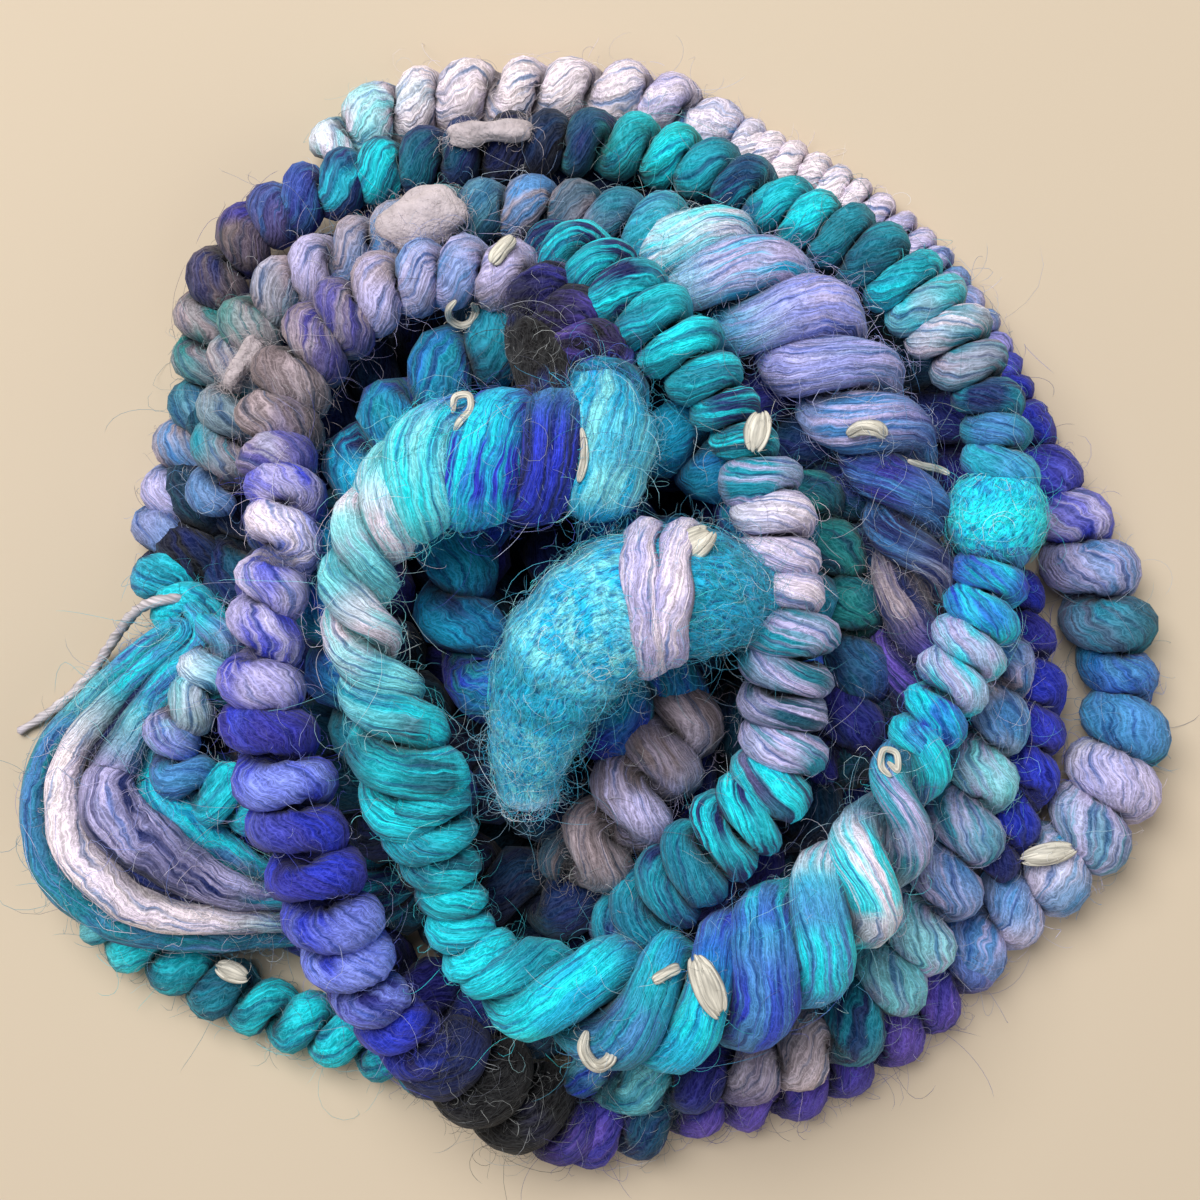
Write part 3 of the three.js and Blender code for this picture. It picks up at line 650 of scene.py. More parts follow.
def length(name, description, millimetres):
    """A length property with its default in millimetres."""
    return FloatProperty(
        name=name,
        description=description,
        default=millimetres * MM,
        min=0.0,
        unit="LENGTH",
        subtype="DISTANCE",
        precision=6,
    )


def number(name, description, default, least=0):
    """A property that counts something."""
    return IntProperty(name=name, description=description, default=default, min=least)


def amount(name, description, default):
    """A property for a plain amount."""
    return FloatProperty(name=name, description=description, default=default, min=0.0)


class YarnSizes(bpy.types.PropertyGroup):
    """Sizes of the spinning that a user would change."""

    step: length("Step", "Spacing of the sections along a single", 0.64)
    ridge: length("Ridge", "Height of the fibre ridges on a single", 0.16)
    hair: length("Hair", "Thickness of a loose fibre", 0.052)
    sides: number("Sides", "Points round a single's section", 12, 6)
    flyaways: number("Flyaways", "Loose fibres that stand off the yarn", 4100)
    down: number("Down", "Short loose fibres close to the yarn", 7600)
    wraps: number("Wraps", "Loose fibres that lie round the yarn", 1000)
    matted: amount("Matted", "Curled fibres to a metre of felted slub", 17000.0)
    felt_hairs: number("Felt hairs", "Loose fibres on the felt nubs", 900, 1)
    silk_hairs: number("Silk hairs", "Loose fibres on the silk", 330, 1)
    swell: amount("Swell", "Unevenness of the hand spinning", 0.23)


class Weave(NamedTuple):
    """How a single is made: spacing of its sections, points round it, ridges and unevenness."""

    step: float
    sides: int
    ridge: float
    swell: float


def weave_of(context, **changes):
    """The user's way of making a single, with what one kind of piece changes in it."""
    sizes = context.scene.yarn_sizes
    return Weave(sizes.step, sizes.sides, sizes.ridge, sizes.swell)._replace(**changes)


def smoothstep(value, low, high):
    share = np.clip((value - low) / (high - low), 0.0, 1.0)
    return share * share * (3.0 - 2.0 * share)


def unit(vectors):
    return vectors / np.maximum(np.linalg.norm(vectors, axis=-1, keepdims=True), 1e-12)


def travelled(points):
    """The length along a line up to each of its points."""
    return np.concatenate(([0.0], np.cumsum(np.linalg.norm(np.diff(points, axis=0), axis=1))))


def columns_at(places, known, values):
    """Columns of values that are known at some places, read at others."""
    return np.stack([np.interp(places, known, column) for column in np.transpose(values)], axis=1)


def upwards(count):
    return np.tile(UPWARD, (count, 1))


def heap_point(east, north, height):
    """A plan point and its height, in millimetres, as a place in the heap in metres."""
    spread = (EYE_HEIGHT - height) / (EYE_HEIGHT - PLAN_LEVEL)
    return np.array((east * spread - PLAN_CENTRE[0], north * spread - PLAN_CENTRE[1], height)) * MM


def settled(height, half):
    """The height of a strand's centre, worked out where it lies on the table."""
    return half * SETTLE if height == TABLE else height


class Line:
    """A strand's line through the heap, evenly sampled, with what changes along it."""

    STEP = 0.25 * MM

    def __init__(self, rows, dyes):
        dense, share = smooth_line(np.array([heap_point(*row[:3]) for row in rows]))
        reach = travelled(dense)
        self.length = reach[-1]
        self.s = np.linspace(0.0, self.length, max(int(self.length / self.STEP), 8))
        at = np.interp(self.s, reach, share)
        index = np.arange(len(rows))
        self.row_s = np.interp(index, share, reach)
        self.point = columns_at(self.s, reach, dense)
        self.half = np.interp(at, index, [row[3] * MM for row in rows])
        step = np.floor(at) + smoothstep(at - np.floor(at), 0.2, 0.8)
        self.dye, self.streak = (
            columns_at(step, index, [dyes[row[part]] for row in rows]) for part in (4, 5))
        self.aim, self.across, self.up = carried_frames(self.point)

    def at(self, name, s):
        """One of the sampled columns at the given lengths along the line."""
        column = getattr(self, name)
        if column.ndim == 1:
            return np.interp(s, self.s, column)
        return columns_at(s, self.s, column)

    def colours(self, s):
        """The dye and the streak at the given lengths along the line."""
        return self.at("dye", s), self.at("streak", s)

    def mean_half(self, start, end):
        """The mean half thickness between two lengths along the line."""
        return float(np.mean(self.at("half", np.linspace(start, end, 20))))


class Wound(NamedTuple):
    """A stretch as it is wound: its line, where it starts and ends on it, and its singles."""

    line: Line
    start: float
    end: float
    sweeps: list


def smooth_line(points, per_span=48):
    """A centripetal spline through the points, with each sample's share of the row count."""
    ends = np.concatenate(([2 * points[0] - points[1]], points, [2 * points[-1] - points[-2]]))
    p0, p1, p2, p3 = (ends[k:len(ends) - 3 + k] for k in range(4))
    d0, d1, d2 = (np.sqrt(np.linalg.norm(b - a, axis=1))[:, None]
                  for a, b in ((p0, p1), (p1, p2), (p2, p3)))
    leave = ((p1 - p0) / d0 - (p2 - p0) / (d0 + d1) + (p2 - p1) / d1) * d1
    reach = ((p2 - p1) / d1 - (p3 - p1) / (d1 + d2) + (p3 - p2) / d2) * d1
    t = np.linspace(0.0, 1.0, per_span, endpoint=False)[None, :, None]
    a, b, m, n = (column[:, None, :] for column in (p1, p2, leave, reach))
    cubic = ((2 * t**3 - 3 * t**2 + 1) * a
             + (t**3 - 2 * t**2 + t) * m
             + (3 * t**2 - 2 * t**3) * b
             + (t**3 - t**2) * n)
    samples = np.concatenate((cubic.reshape(-1, 3), points[-1:]))
    share = np.concatenate(((np.arange(len(points) - 1)[:, None] + t[0, :, 0]).ravel(), [len(points) - 1]))
    return samples, share


def carried_frames(points):
    """Tangents along a line, and two cross directions carried along it without twist."""
    aim = unit(np.gradient(points, axis=0))
    across = np.empty_like(aim)
    start = np.cross(aim[0], UPWARD)
    across[0] = unit(start if np.linalg.norm(start) > 1e-3 else np.array((1.0, 0.0, 0.0)))
    for k in range(1, len(aim)):
        carried = across[k - 1] - aim[k] * np.dot(across[k - 1], aim[k])
        across[k] = carried / np.linalg.norm(carried)
    return aim, across, np.cross(aim, across)


def soft_noise(x, rng, waves=5):
    """A smooth, uneven run of values between about -1 and 1 along x, one bump to a unit."""
    total = np.zeros_like(x)
    for _ in range(waves):
        total += np.cos(2 * np.pi * x * rng.uniform(0.35, 1.25) + rng.uniform(0, 2 * np.pi))
    return total / math.sqrt(2.0 * waves)


def wind(line, start, end, spin, ply, weave, rng, single=None):
    """One single of a strand: wound round the core, uneven, ridged by its fibres."""
    plies, lobe, level = spin["plies"], spin["lobe"] * MM, spin.get("level")
    turn = plies * lobe
    helix = math.hypot(math.pi * line.mean_half(start, end) * (end - start) / turn, end - start)
    count = max(int(helix / weave.step), 12)
    s = np.linspace(start, end, count)
    theta = 2 * np.pi * (ply / plies - (s - start) / turn) + math.radians(spin.get("phase", 0))
    sway = LEVEL_SWAY if level else SWAY
    theta = theta + sway * soft_noise((s - start) / (2.2 * min(lobe, 12 * MM)), rng)
    uneven = 1.0 + weave.swell * soft_noise(theta / (2 * np.pi) * 1.15, rng)
    square = spin.get("square", SQUARE if plies == 1 else 0.0)
    if square:
        top = np.arctan2(line.at("up", s)[:, 2], line.at("across", s)[:, 2])
        s = np.clip(s + square * turn / (2 * np.pi) * np.sin(theta - top), start, end)
    half = line.at("half", s)
    reach = 0.5 * half
    for _ in range(5):
        around = 2 * np.pi * reach
        spacing = turn * around / plies / np.hypot(turn, around)
        wide = BREADTH * spin.get("full", 1.0) * spacing * uneven
        thick = np.minimum(DEPTH * spacing, DEEPEST * half) * (0.5 + 0.5 * uneven)
        reach = np.maximum(half - thick, NEAREST * half)
    ending = 0.5 * min(lobe, 16 * MM)
    fade = np.sqrt(1.0 - (1.0 - np.clip(np.minimum(s - start, end - s) / ending, 0, 1)) ** 2)
    fade = np.maximum(fade, 0.02)
    fade[[0, -1]] = 0.0
    reach = reach * (0.35 + 0.65 * fade)
    across, up = line.at("across", s), line.at("up", s)
    if level:
        aim = line.at("aim", s)
        across = unit(np.cross(aim, UPWARD))
        up = np.cross(across, aim)
    out = np.cos(theta)[:, None] * across + np.sin(theta)[:, None] * up
    centre = line.at("point", s) + reach[:, None] * out
    colours = line.colours(s)
    lively = spin.get("lively", 0.8 if plies == 1 else 0.35)
    if single:
        *baths, broad = single
        share = np.interp((s - start) / (end - start), SLUB_SHARE, (0.0, 1.0, 1.0, 0.0))[:, None]
        colours = [own * (1 - share) + np.array(bath) * share for own, bath in zip(colours, baths)]
        wide = wide * broad
        lively = 0.0
    elif ply % 2:
        colours = colours[::-1]
    return sweep(centre, out, thick * fade, wide * fade, spin["slant"], weave, rng, colours, lively)


def sweep(centre, out, thick, wide, slant, weave, rng, colours, lively=0.0):
    """A soft single along a line: its points, outward directions, fibre map and dyes, the dyes darkened by
    painted shade towards its inner side, where the grooves between turns lie.
    """
    count, sides = len(centre), weave.sides
    aim = unit(np.gradient(centre, axis=0))
    out = unit(out - aim * np.sum(out * aim, axis=1, keepdims=True))
    side = np.cross(aim, out)
    run = travelled(centre)
    phi = np.linspace(-np.pi, np.pi, sides + 1)[None, :]
    girth = max(float(np.median(0.5 * (thick + wide))), 1e-5)
    lay = math.radians(slant)
    twist = run[:, None] * math.tan(min(lay, STEEPEST)) / girth
    ridge = np.zeros((count, sides + 1))
    for waves in RIDGE_WAVES:
        drift = soft_noise(run / RIDGE_DRIFT, rng, 3)[:, None]
        ridge += np.cos(waves * (phi - twist) + rng.uniform(0, 2 * np.pi) + 1.6 * drift) / waves**0.5
    height = weave.ridge * ridge * np.minimum(1.0, np.minimum(thick, wide) / (1.6 * MM))[:, None]
    points = (centre[:, None, :]
              + out[:, None, :] * ((thick[:, None] + height) * np.cos(phi))[..., None]
              + side[:, None, :] * ((wide[:, None] + height) * np.sin(phi))[..., None])
    points[[0, -1]] = centre[[0, -1], None, :]
    points[..., 2] = np.maximum(points[..., 2], LOWEST)
    around = girth * phi + 0 * run[:, None]
    along = run[:, None] + 0 * phi
    fibre = np.stack((along * math.cos(lay) + around * math.sin(lay),
                      around * math.cos(lay) - along * math.sin(lay)), axis=-1) / MM
    fibre += rng.uniform(0, 400, 2)
    blend = (0.5 + 0.5 * soft_noise(run / DYE_BLEND, rng, 4))[:, None]
    blend = smoothstep(blend, 0.42, 0.85) * (0.9 if lively else 0.4)
    base, streak = (np.broadcast_to(np.asarray(c), (count, 3)) for c in colours)
    patch = smoothstep(soft_noise(run / DYE_PATCH, rng, 4), 0.35, 1.0)[:, None] * 0.6 * lively
    shift = np.searchsorted(run, PATCH_LAG) % count
    base = base * (1 - patch) + np.roll(streak, shift, axis=0) * patch
    # Painted shade: both dyes darken towards the single's inner side, where the grooves between its turns
    # lie in shade.
    painted_groove_shade = (0.3 + 0.7 * smoothstep(np.cos(phi), -0.2, 0.8))[..., None]
    blend = np.clip(blend + 0.6 * lively * (smoothstep(np.cos(phi), 0.55, 1.0) - 0.4), 0.0, 1.0)[..., None]
    base, streak = base[:, None, :], streak[:, None, :]
    return dict(
        points=points,
        out=unit(points - centre[:, None, :]),
        aim=aim,
        size=run[-1] * girth,
        fibre=fibre,
        # The dye and the streak carry the painted groove shade as well as the two dyes.
        dye=(base * (1 - blend) + streak * blend) * painted_groove_shade,
        streak=(streak * (1 - 0.25 * blend) + base * 0.25 * blend) * painted_groove_shade,
    )


def mesh_from(bm, name):
    mesh = bpy.data.meshes.new(name)
    bm.to_mesh(mesh)
    bm.free()
    return mesh


def vertex_places(mesh):
    flat = np.empty(len(mesh.vertices) * 3)
    mesh.vertices.foreach_get("co", flat)
    return flat.reshape(-1, 3)


def write_places(mesh, places):
    mesh.vertices.foreach_set("co", places.astype(np.float32).ravel())


def write_colour(mesh, name, values):
    layer = mesh.attributes.new(name, "FLOAT_COLOR", "POINT")
    layer.data.foreach_set("color", np.concatenate((values, np.ones((len(values), 1))), axis=1).ravel())


def write_map(mesh, name, corners):
    layer = mesh.uv_layers.new(name=name)
    layer.uv.foreach_set("vector", corners.astype(np.float32).ravel())


def shade_smooth(mesh):
    mesh.polygons.foreach_set("use_smooth", np.ones(len(mesh.polygons), dtype=bool))


def strand_mesh(name, sweeps):
    """Grids wrapped onto the swept singles, welded along their seams and closed at their ends."""
    bm = bmesh.new()
    for made in sweeps:
        rows, columns = made["points"].shape[:2]
        bmesh.ops.create_grid(bm, x_segments=columns - 1, y_segments=rows - 1, size=1.0)
    mesh = mesh_from(bm, name)
    flat = vertex_places(mesh)
    kept = {kind: [] for kind in ("points", "fibre", "dye", "streak")}
    row_of, column_of, sheet, edge = [], [], [], []
    first = 0
    for place, made in enumerate(sweeps):
        rows, columns = made["points"].shape[:2]
        block = flat[first:first + rows * columns]
        column = np.rint((block[:, 0] + 1) / 2 * (columns - 1)).astype(int)
        row = np.rint((block[:, 1] + 1) / 2 * (rows - 1)).astype(int)
        for kind, store in kept.items():
            store.append(made[kind][row, column])
        row_of.append(row)
        column_of.append(column / (columns - 1))
        sheet.append(np.full(rows * columns, place))
        edge.append((row == 0) | (row == rows - 1) | (column == 0) | (column == columns - 1))
        first += rows * columns
    kept = {kind: np.concatenate(store) for kind, store in kept.items()}
    write_places(mesh, kept["points"])
    # The dye and streak colours carry the singles' painted groove shade.
    for kind in ("dye", "streak"):
        write_colour(mesh, kind, kept[kind])
    corner = np.empty(len(mesh.loops), dtype=np.int32)
    mesh.loops.foreach_get("vertex_index", corner)
    write_map(mesh, "Fibre", kept["fibre"][corner])
    strips = (np.concatenate(part)[corner] for part in (row_of, column_of, sheet))
    write_map(mesh, "OFBake", packed_strips(*strips))
    weld(mesh, np.nonzero(np.concatenate(edge))[0])
    return mesh


def packed_strips(row, column, sheet):
    """A bake map in which each single's skin is cut into lengths that fill the square."""
    rows = row.reshape(-1, 4)
    low = rows.min(axis=1, keepdims=True)
    offset = np.zeros(sheet.max() + 1, dtype=int)
    tops = np.array([row[sheet == k].max() for k in range(len(offset))])
    offset[1:] = np.cumsum(tops)[:-1]
    total = int(tops.sum())
    lanes = max(int(math.sqrt(total / 20)), 1)
    per_lane = math.ceil(total / lanes)
    start = low + offset[sheet.reshape(-1, 4)[:, :1]]
    lane = start // per_lane
    along = (start - lane * per_lane + rows - low) / per_lane
    beside = (lane + 0.04 + 0.92 * column.reshape(-1, 4)) / lanes
    return np.stack((along.ravel(), beside.ravel()), axis=1)


def weld(mesh, edge):
    """Joins the seams and ends of wrapped grids, and turns the faces outwards."""
    bm = bmesh.new()
    bm.from_mesh(mesh)
    bm.verts.ensure_lookup_table()
    bmesh.ops.remove_doubles(bm, verts=[bm.verts[k] for k in edge], dist=1e-6)
    bmesh.ops.dissolve_degenerate(bm, dist=1e-8, edges=bm.edges)
    bmesh.ops.recalc_face_normals(bm, faces=bm.faces)
    bm.to_mesh(mesh)
    bm.free()
    shade_smooth(mesh)
    mesh.update()


def add_piece(name, mesh, material, slot, *nodes):
    """A finished piece of the heap, riding on it, in place of the named solids."""
    piece = bpy.data.objects.new(name, mesh)
    bpy.context.scene.collection.objects.link(piece)
    mesh.materials.append(material)
    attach(piece, "root")
    if nodes:
        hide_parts(*nodes)
    return piece


def add_strands(name, sweeps, material, slot, *nodes):
    """A piece of swept singles."""
    return add_piece(name, strand_mesh(name, sweeps), material, slot, *nodes)


def add_hairs(name, paths, tints, thin, slot, context, rng):
    """A piece of loose fibres, each between two shares of the usual thickness."""
    widths = context.scene.yarn_sizes.hair * rng.uniform(*thin, len(paths))
    material = material_named("loose_fibre", hair_material)
    add_piece(name, hair_mesh(name, paths, widths, tints), material, slot)


def hair_mesh(name, paths, widths, colours):
    """Thin three-sided fibres, pointed at both ends, joined into one mesh from arrays."""
    fibres, knots = paths.shape[:2]
    aim = unit(np.gradient(paths, axis=1))
    lean = np.where(np.abs(aim[:, :, 2:]) > 0.8, (1.0, 0.0, 0.0), UPWARD)
    one = unit(np.cross(aim, lean))
    two = np.cross(aim, one)
    rings = knots - 2
    turn = 2 * np.pi * np.arange(3) / 3
    spread = (one[:, 1:-1, None, :] * np.cos(turn)[None, None, :, None]
              + two[:, 1:-1, None, :] * np.sin(turn)[None, None, :, None])
    ring = paths[:, 1:-1, None, :] + spread * (0.5 * widths[:, None, None, None])
    verts = np.concatenate((paths[:, :1], ring.reshape(fibres, rings * 3, 3), paths[:, -1:]), axis=1)
    per = verts.shape[1]
    side = np.arange(3)
    after = (side + 1) % 3
    base = 1 + 3 * np.arange(rings - 1)[:, None]
    walls = np.stack((base + side, base + after, base + 3 + after, base + 3 + side), axis=-1).reshape(-1, 4)
    head = np.stack((np.zeros(3, int), 1 + after, 1 + side), axis=-1)
    last = 1 + 3 * (rings - 1)
    tail = np.stack((last + side, last + after, np.full(3, per - 1)), axis=-1)
    shift = (np.arange(fibres) * per)[:, None, None]
    corners = np.concatenate(
        [(block[None] + shift).reshape(fibres, -1) for block in (walls, head, tail)], axis=1)
    totals = np.tile(np.concatenate((np.full(len(walls), 4), np.full(6, 3))), fibres)
    mesh = bpy.data.meshes.new(name)
    mesh.vertices.add(fibres * per)
    write_places(mesh, verts)
    mesh.loops.add(corners.size)
    mesh.loops.foreach_set("vertex_index", corners.astype(np.int32).ravel())
    mesh.polygons.add(len(totals))
    mesh.polygons.foreach_set("loop_start", np.concatenate(([0], np.cumsum(totals)[:-1])).astype(np.int32))
    shade_smooth(mesh)
    mesh.update(calc_edges=True)
    write_colour(mesh, "dye", np.repeat(colours, per, axis=0))
    cells = math.ceil(math.sqrt(fibres))
    knot = np.concatenate(([0], np.repeat(np.arange(1, knots - 1), 3), [knots - 1])) / (knots - 1)
    lane = np.concatenate(([1], np.tile(side, rings), [1])) / 3
    place = np.arange(fibres)
    across = (place % cells)[:, None] + 0.1 + 0.8 * knot[None]
    down = (place // cells)[:, None] + 0.1 + 0.8 * lane[None]
    spots = np.stack((across, down), axis=-1).reshape(-1, 2) / cells
    write_map(mesh, "OFBake", spots[corners.ravel()])
    return mesh


def new_material(name):
    material = bpy.data.materials.new(name)
    material.use_nodes = True
    return material, material.node_tree


def material_named(name, maker, *given):
    return bpy.data.materials.get(name) or maker(name, *given)


def add_node(tree, kind, links=(), **settings):
    """A node with its settings, and links from (socket, output) pairs."""
    node = tree.nodes.new(kind)
    for key, value in settings.items():
        setattr(node, key, value)
    for socket, source in links:
        if isinstance(source, bpy.types.NodeSocket):
            tree.links.new(source, node.inputs[socket])
        else:
            node.inputs[socket].default_value = source
    return node


def painted(tree, name):
    """A colour that the mesh carries at its points."""
    return add_node(tree, "ShaderNodeAttribute", attribute_name=name).outputs["Color"]


def fibre_places(tree):
    """Places on a single's skin, along and across its fibres, in millimetres."""
    return add_node(tree, "ShaderNodeUVMap", uv_map="Fibre").outputs["UV"]


def object_places(tree):
    return add_node(tree, "ShaderNodeTexCoord").outputs["Object"]


def noise(tree, place, scale, detail, output="Fac"):
    node = add_node(tree, "ShaderNodeTexNoise", (("Vector", place), ("Scale", scale), ("Detail", detail)))
    return node.outputs[output]


def fibre_noise(tree, fibre, along, across, detail, turn=0.0):
    """Noise drawn out along the fibres of a spun single, or at a turn to them."""
    mapping = add_node(tree, "ShaderNodeMapping", (
        ("Vector", fibre), ("Rotation", (0.0, 0.0, math.radians(turn))), ("Scale", (along, across, 1.0))))
    return noise(tree, mapping.outputs["Vector"], 1.0, detail)


def maths(tree, operation, *values):
    return add_node(tree, "ShaderNodeMath", enumerate(values), operation=operation).outputs["Value"]


def ramp(tree, value, low, high, to_low=0.0, to_high=1.0):
    node = add_node(tree, "ShaderNodeMapRange", (
        ("Value", value), ("From Min", low), ("From Max", high), ("To Min", to_low), ("To Max", to_high)))
    return node.outputs["Result"]


def mixed(tree, factor, first, second, blend="MIX"):
    links = ((0, factor), (6, first), (7, second))
    return add_node(tree, "ShaderNodeMix", links, data_type="RGBA", blend_type=blend).outputs[2]


def toned(tree, colour, shade):
    """A colour made lighter or darker by a grey value."""
    grey = add_node(tree, "ShaderNodeCombineColor", [(part, shade) for part in ("Red", "Green", "Blue")])
    return mixed(tree, 1.0, colour, grey.outputs["Color"], "MULTIPLY")


def two_tone(tree, share, colour, depth):
    """A darker shade of a colour and the colour itself, mixed by a grey value."""
    dark = tuple(depth * value for value in colour)
    return mixed(tree, share, (*dark, 1.0), (*colour, 1.0))


def hair_lines(tree, fibre, turn, along, across, thin):
    """Wandering hair lines: the contours of noise drawn out in one direction."""
    away = maths(tree, "SUBTRACT", fibre_noise(tree, fibre, along, across, LINE_DETAIL, turn), 0.5)
    return ramp(tree, maths(tree, "ABSOLUTE", away), 0.0, thin, 1.0, 0.0)


def finished(name, material, colour, relief=None):
    """A material with its colour, relief and finish on its shader."""
    tree = material.node_tree
    shader = tree.nodes["Principled BSDF"]
    roughness, specular, sheen, strength, depth = FINISHES[name]
    shader.inputs["Roughness"].default_value = roughness
    shader.inputs["Specular IOR Level"].default_value = specular
    shader.inputs["Sheen Weight"].default_value = sheen
    tree.links.new(colour, shader.inputs["Base Color"])
    if relief is not None:
        bump = add_node(tree, "ShaderNodeBump", (
            ("Strength", strength), ("Distance", depth * MM), ("Height", relief)))
        tree.links.new(bump.outputs["Normal"], shader.inputs["Normal"])
    return material


def wool_material(name):
    """Dyed wool: two dyes drawn out along the fibres, painted shade in the gaps between its locks, pale
    hairs and a tangle on top.
    """
    tangle, felted = WOOLS[name]
    material, tree = new_material(name)
    straight = fibre_places(tree)
    waves = noise(tree, straight, *WAVE_NOISE, "Color")
    fibre = add_node(tree, "ShaderNodeVectorMath", ((0, waves), (1, (0.0, WAVE, 0.0)), (2, straight)),
                     operation="MULTIPLY_ADD").outputs["Vector"]
    drawn, effect = {}, {}
    for kind, ((along, across, detail), limits) in WOOL_NOISE.items():
        drawn[kind] = fibre_noise(tree, fibre, along * felted, across, detail)
        effect[kind] = ramp(tree, drawn[kind], *limits)
    # The dye and streak attributes carry the singles' painted groove shade.
    first, second = painted(tree, "dye"), painted(tree, "streak")
    colour = mixed(tree, effect["bands"], first, second)
    other = mixed(tree, effect["bands"], second, first)
    colour = mixed(tree, effect["threads"], colour, other)
    # Painted shade: the colour darkens in the gaps between the fibre locks.
    deep = mixed(tree, 1.0, colour, PAINTED_LOCK_SHADE, "MULTIPLY")
    colour = mixed(tree, effect["locks"], colour, deep)
    colour = toned(tree, colour, effect["strands"])
    bright = mixed(tree, 1.0, colour, BRIGHT, "MULTIPLY")
    pale = mixed(tree, PALE_SHARE, bright, PALE_HAIR)
    colour = mixed(tree, effect["hairs"], colour, pale)
    for line in HAIR_LINES:
        weight = maths(tree, "MULTIPLY", hair_lines(tree, fibre, *line), tangle)
        colour = mixed(tree, weight, colour, pale)
    return finished(name, material, colour, maths(tree, "ADD", drawn["strands"], drawn["locks"]))


def hair_material(name):
    """Single loose fibres, tinted by the strand they come from."""
    material, tree = new_material(name)
    bleached = ramp(tree, noise(tree, object_places(tree), *PATCH_NOISE), 0.45, 0.75, 0.0, 0.2)
    return finished(name, material, mixed(tree, bleached, painted(tree, "dye"), PALE_FLYAWAY))


def silk_material(name):
    """Combed fibre with fine lengthwise strands."""
    material, tree = new_material(name)
    drawn, limits = SILK_NOISE
    strands = fibre_noise(tree, fibre_places(tree), *drawn)
    shade = ramp(tree, strands, *limits)
    return finished(name, material, toned(tree, painted(tree, "dye"), shade), strands)


def felt_material(name, colour):
    """Felted wool: matt, with matted fibres in every direction."""
    material, tree = new_material(name)
    place = object_places(tree)
    lumps = ramp(tree, noise(tree, place, *LUMP_NOISE), 0.3, 0.62)
    return finished(name, material, two_tone(tree, lumps, colour, 0.7), noise(tree, place, *MAT_NOISE))


def table_material(name, colour):
    """A plain pale table, faintly clouded."""
    material, tree = new_material(name)
    clouds = noise(tree, object_places(tree), *CLOUD_NOISE)
    return finished(name, material, two_tone(tree, clouds, colour, 0.93))


def dye_table(context):
    dyes = context.scene.yarn_dyes
    return {name: tuple(getattr(dyes, name)) for name in YarnDyes.__annotations__}


def run_rows(names):
    """The bends of the stretches of a run, with heights on the table worked out."""
    rows = []
    for name in names:
        for east, north, height, half, main, streak in STRETCHES[name]["rows"]:
            rows.append((east, north, settled(height, half), half, main, streak))
    return rows


def wound_stretches(context):
    """Each stretch of the yarn as its wound singles, by name."""
    dyes, weave = dye_table(context), weave_of(context)
    made = {}
    for names in RUNS:
        line = Line(run_rows(names), dyes)
        first = 0
        for name in names:
            spin = STRETCHES[name]
            last = first + len(spin["rows"]) - 1
            overlap = 0.35 * spin["lobe"] * MM if spin["plies"] == 1 else 2.5 * MM
            start = 0.5 * (line.row_s[max(first - 1, 0)] + line.row_s[first]) - overlap
            end = 0.5 * (line.row_s[last] + line.row_s[min(last + 1, len(line.row_s) - 1)]) + overlap
            start, end = max(start, 0.0), min(end, line.length)
            made[name] = Wound(line, start, end, singles(name, line, start, end, dyes, weave))
            first = last + 1
    return made


def singles(name, line, start, end, dyes, weave):
    """The singles of one stretch, or the matted wool in their place, and a level slub's core."""
    spin = STRETCHES[name]
    rng = np.random.default_rng(sum(map(ord, name)))
    own = [(dyes[main], dyes[streak], broad) for main, streak, broad in SLUB_SINGLES.get(name, ())]
    sweeps = []
    for ply in range(spin["plies"]):
        sweeps.append(wind(line, start, end, spin, ply, weave, rng, own[ply] if own else None))
    if not spin["plies"]:
        sweeps.append(felted_core(line, start, end, 1.0, spin["slant"], weave, rng))
    if spin.get("level"):
        dark = (dyes["navy"], dyes["black"])
        sweeps.append(felted_core(line, start, end, 0.7, spin["slant"], weave, rng, dark))
    return sweeps


def felted_core(line, start, end, share, slant, weave, rng, colours=None):
    """A slub of matted wool, lumpy with blunt ends; one with colours of its own is coarser."""
    coarse = 1 if colours is None else 3
    count = int((end - start) / (0.5 * coarse * weave.step))
    s = np.linspace(start, end, count)
    inset = np.clip(np.minimum(s - start, end - s) / (2.6 * MM), 0, 1)
    lumps = 1 + 0.05 * soft_noise((s - start) / (6 * MM), rng)
    girth = share * line.at("half", s) * np.sqrt(1 - (1 - inset) ** 2) * lumps
    girth[[0, -1]] = 0.0
    weave = weave._replace(sides=3 * weave.sides // coarse)
    colours = colours or line.colours(s)
    return sweep(line.at("point", s), upwards(count), girth, girth, slant, weave, rng, colours)


def slub_band(line, spot, dyes, weave, rng):
    """A pale single wrapped over the felted slub, leaning along it."""
    theta = np.linspace(-1.1, math.pi + 1.1, BAND_ROWS)
    s = line.row_s[SLUB_BANDS["row"]] + (spot + SLUB_BANDS["rise"] * (theta / math.pi - 0.7)) * MM
    aim = line.at("aim", s)
    across = unit(np.cross(aim, UPWARD))
    level = np.hypot(aim[:, 0], aim[:, 1])
    out = np.cos(theta)[:, None] * across + np.outer(np.sin(theta) / level, UPWARD)
    centre = line.at("point", s) + (line.at("half", s) - 0.5 * MM)[:, None] * out
    girth = SLUB_BANDS["half"] * MM * np.sqrt(np.clip(1 - np.linspace(-1, 1, BAND_ROWS) ** 6, 0, 1))
    girth = girth * (1 + 0.12 * soft_noise(theta, rng))
    colours = (np.array(dyes["lavender"]), np.array(dyes["pale"]))
    return sweep(centre, out, 0.8 * girth, girth, BAND_SLANT, weave, rng, colours)


WOUND = {}


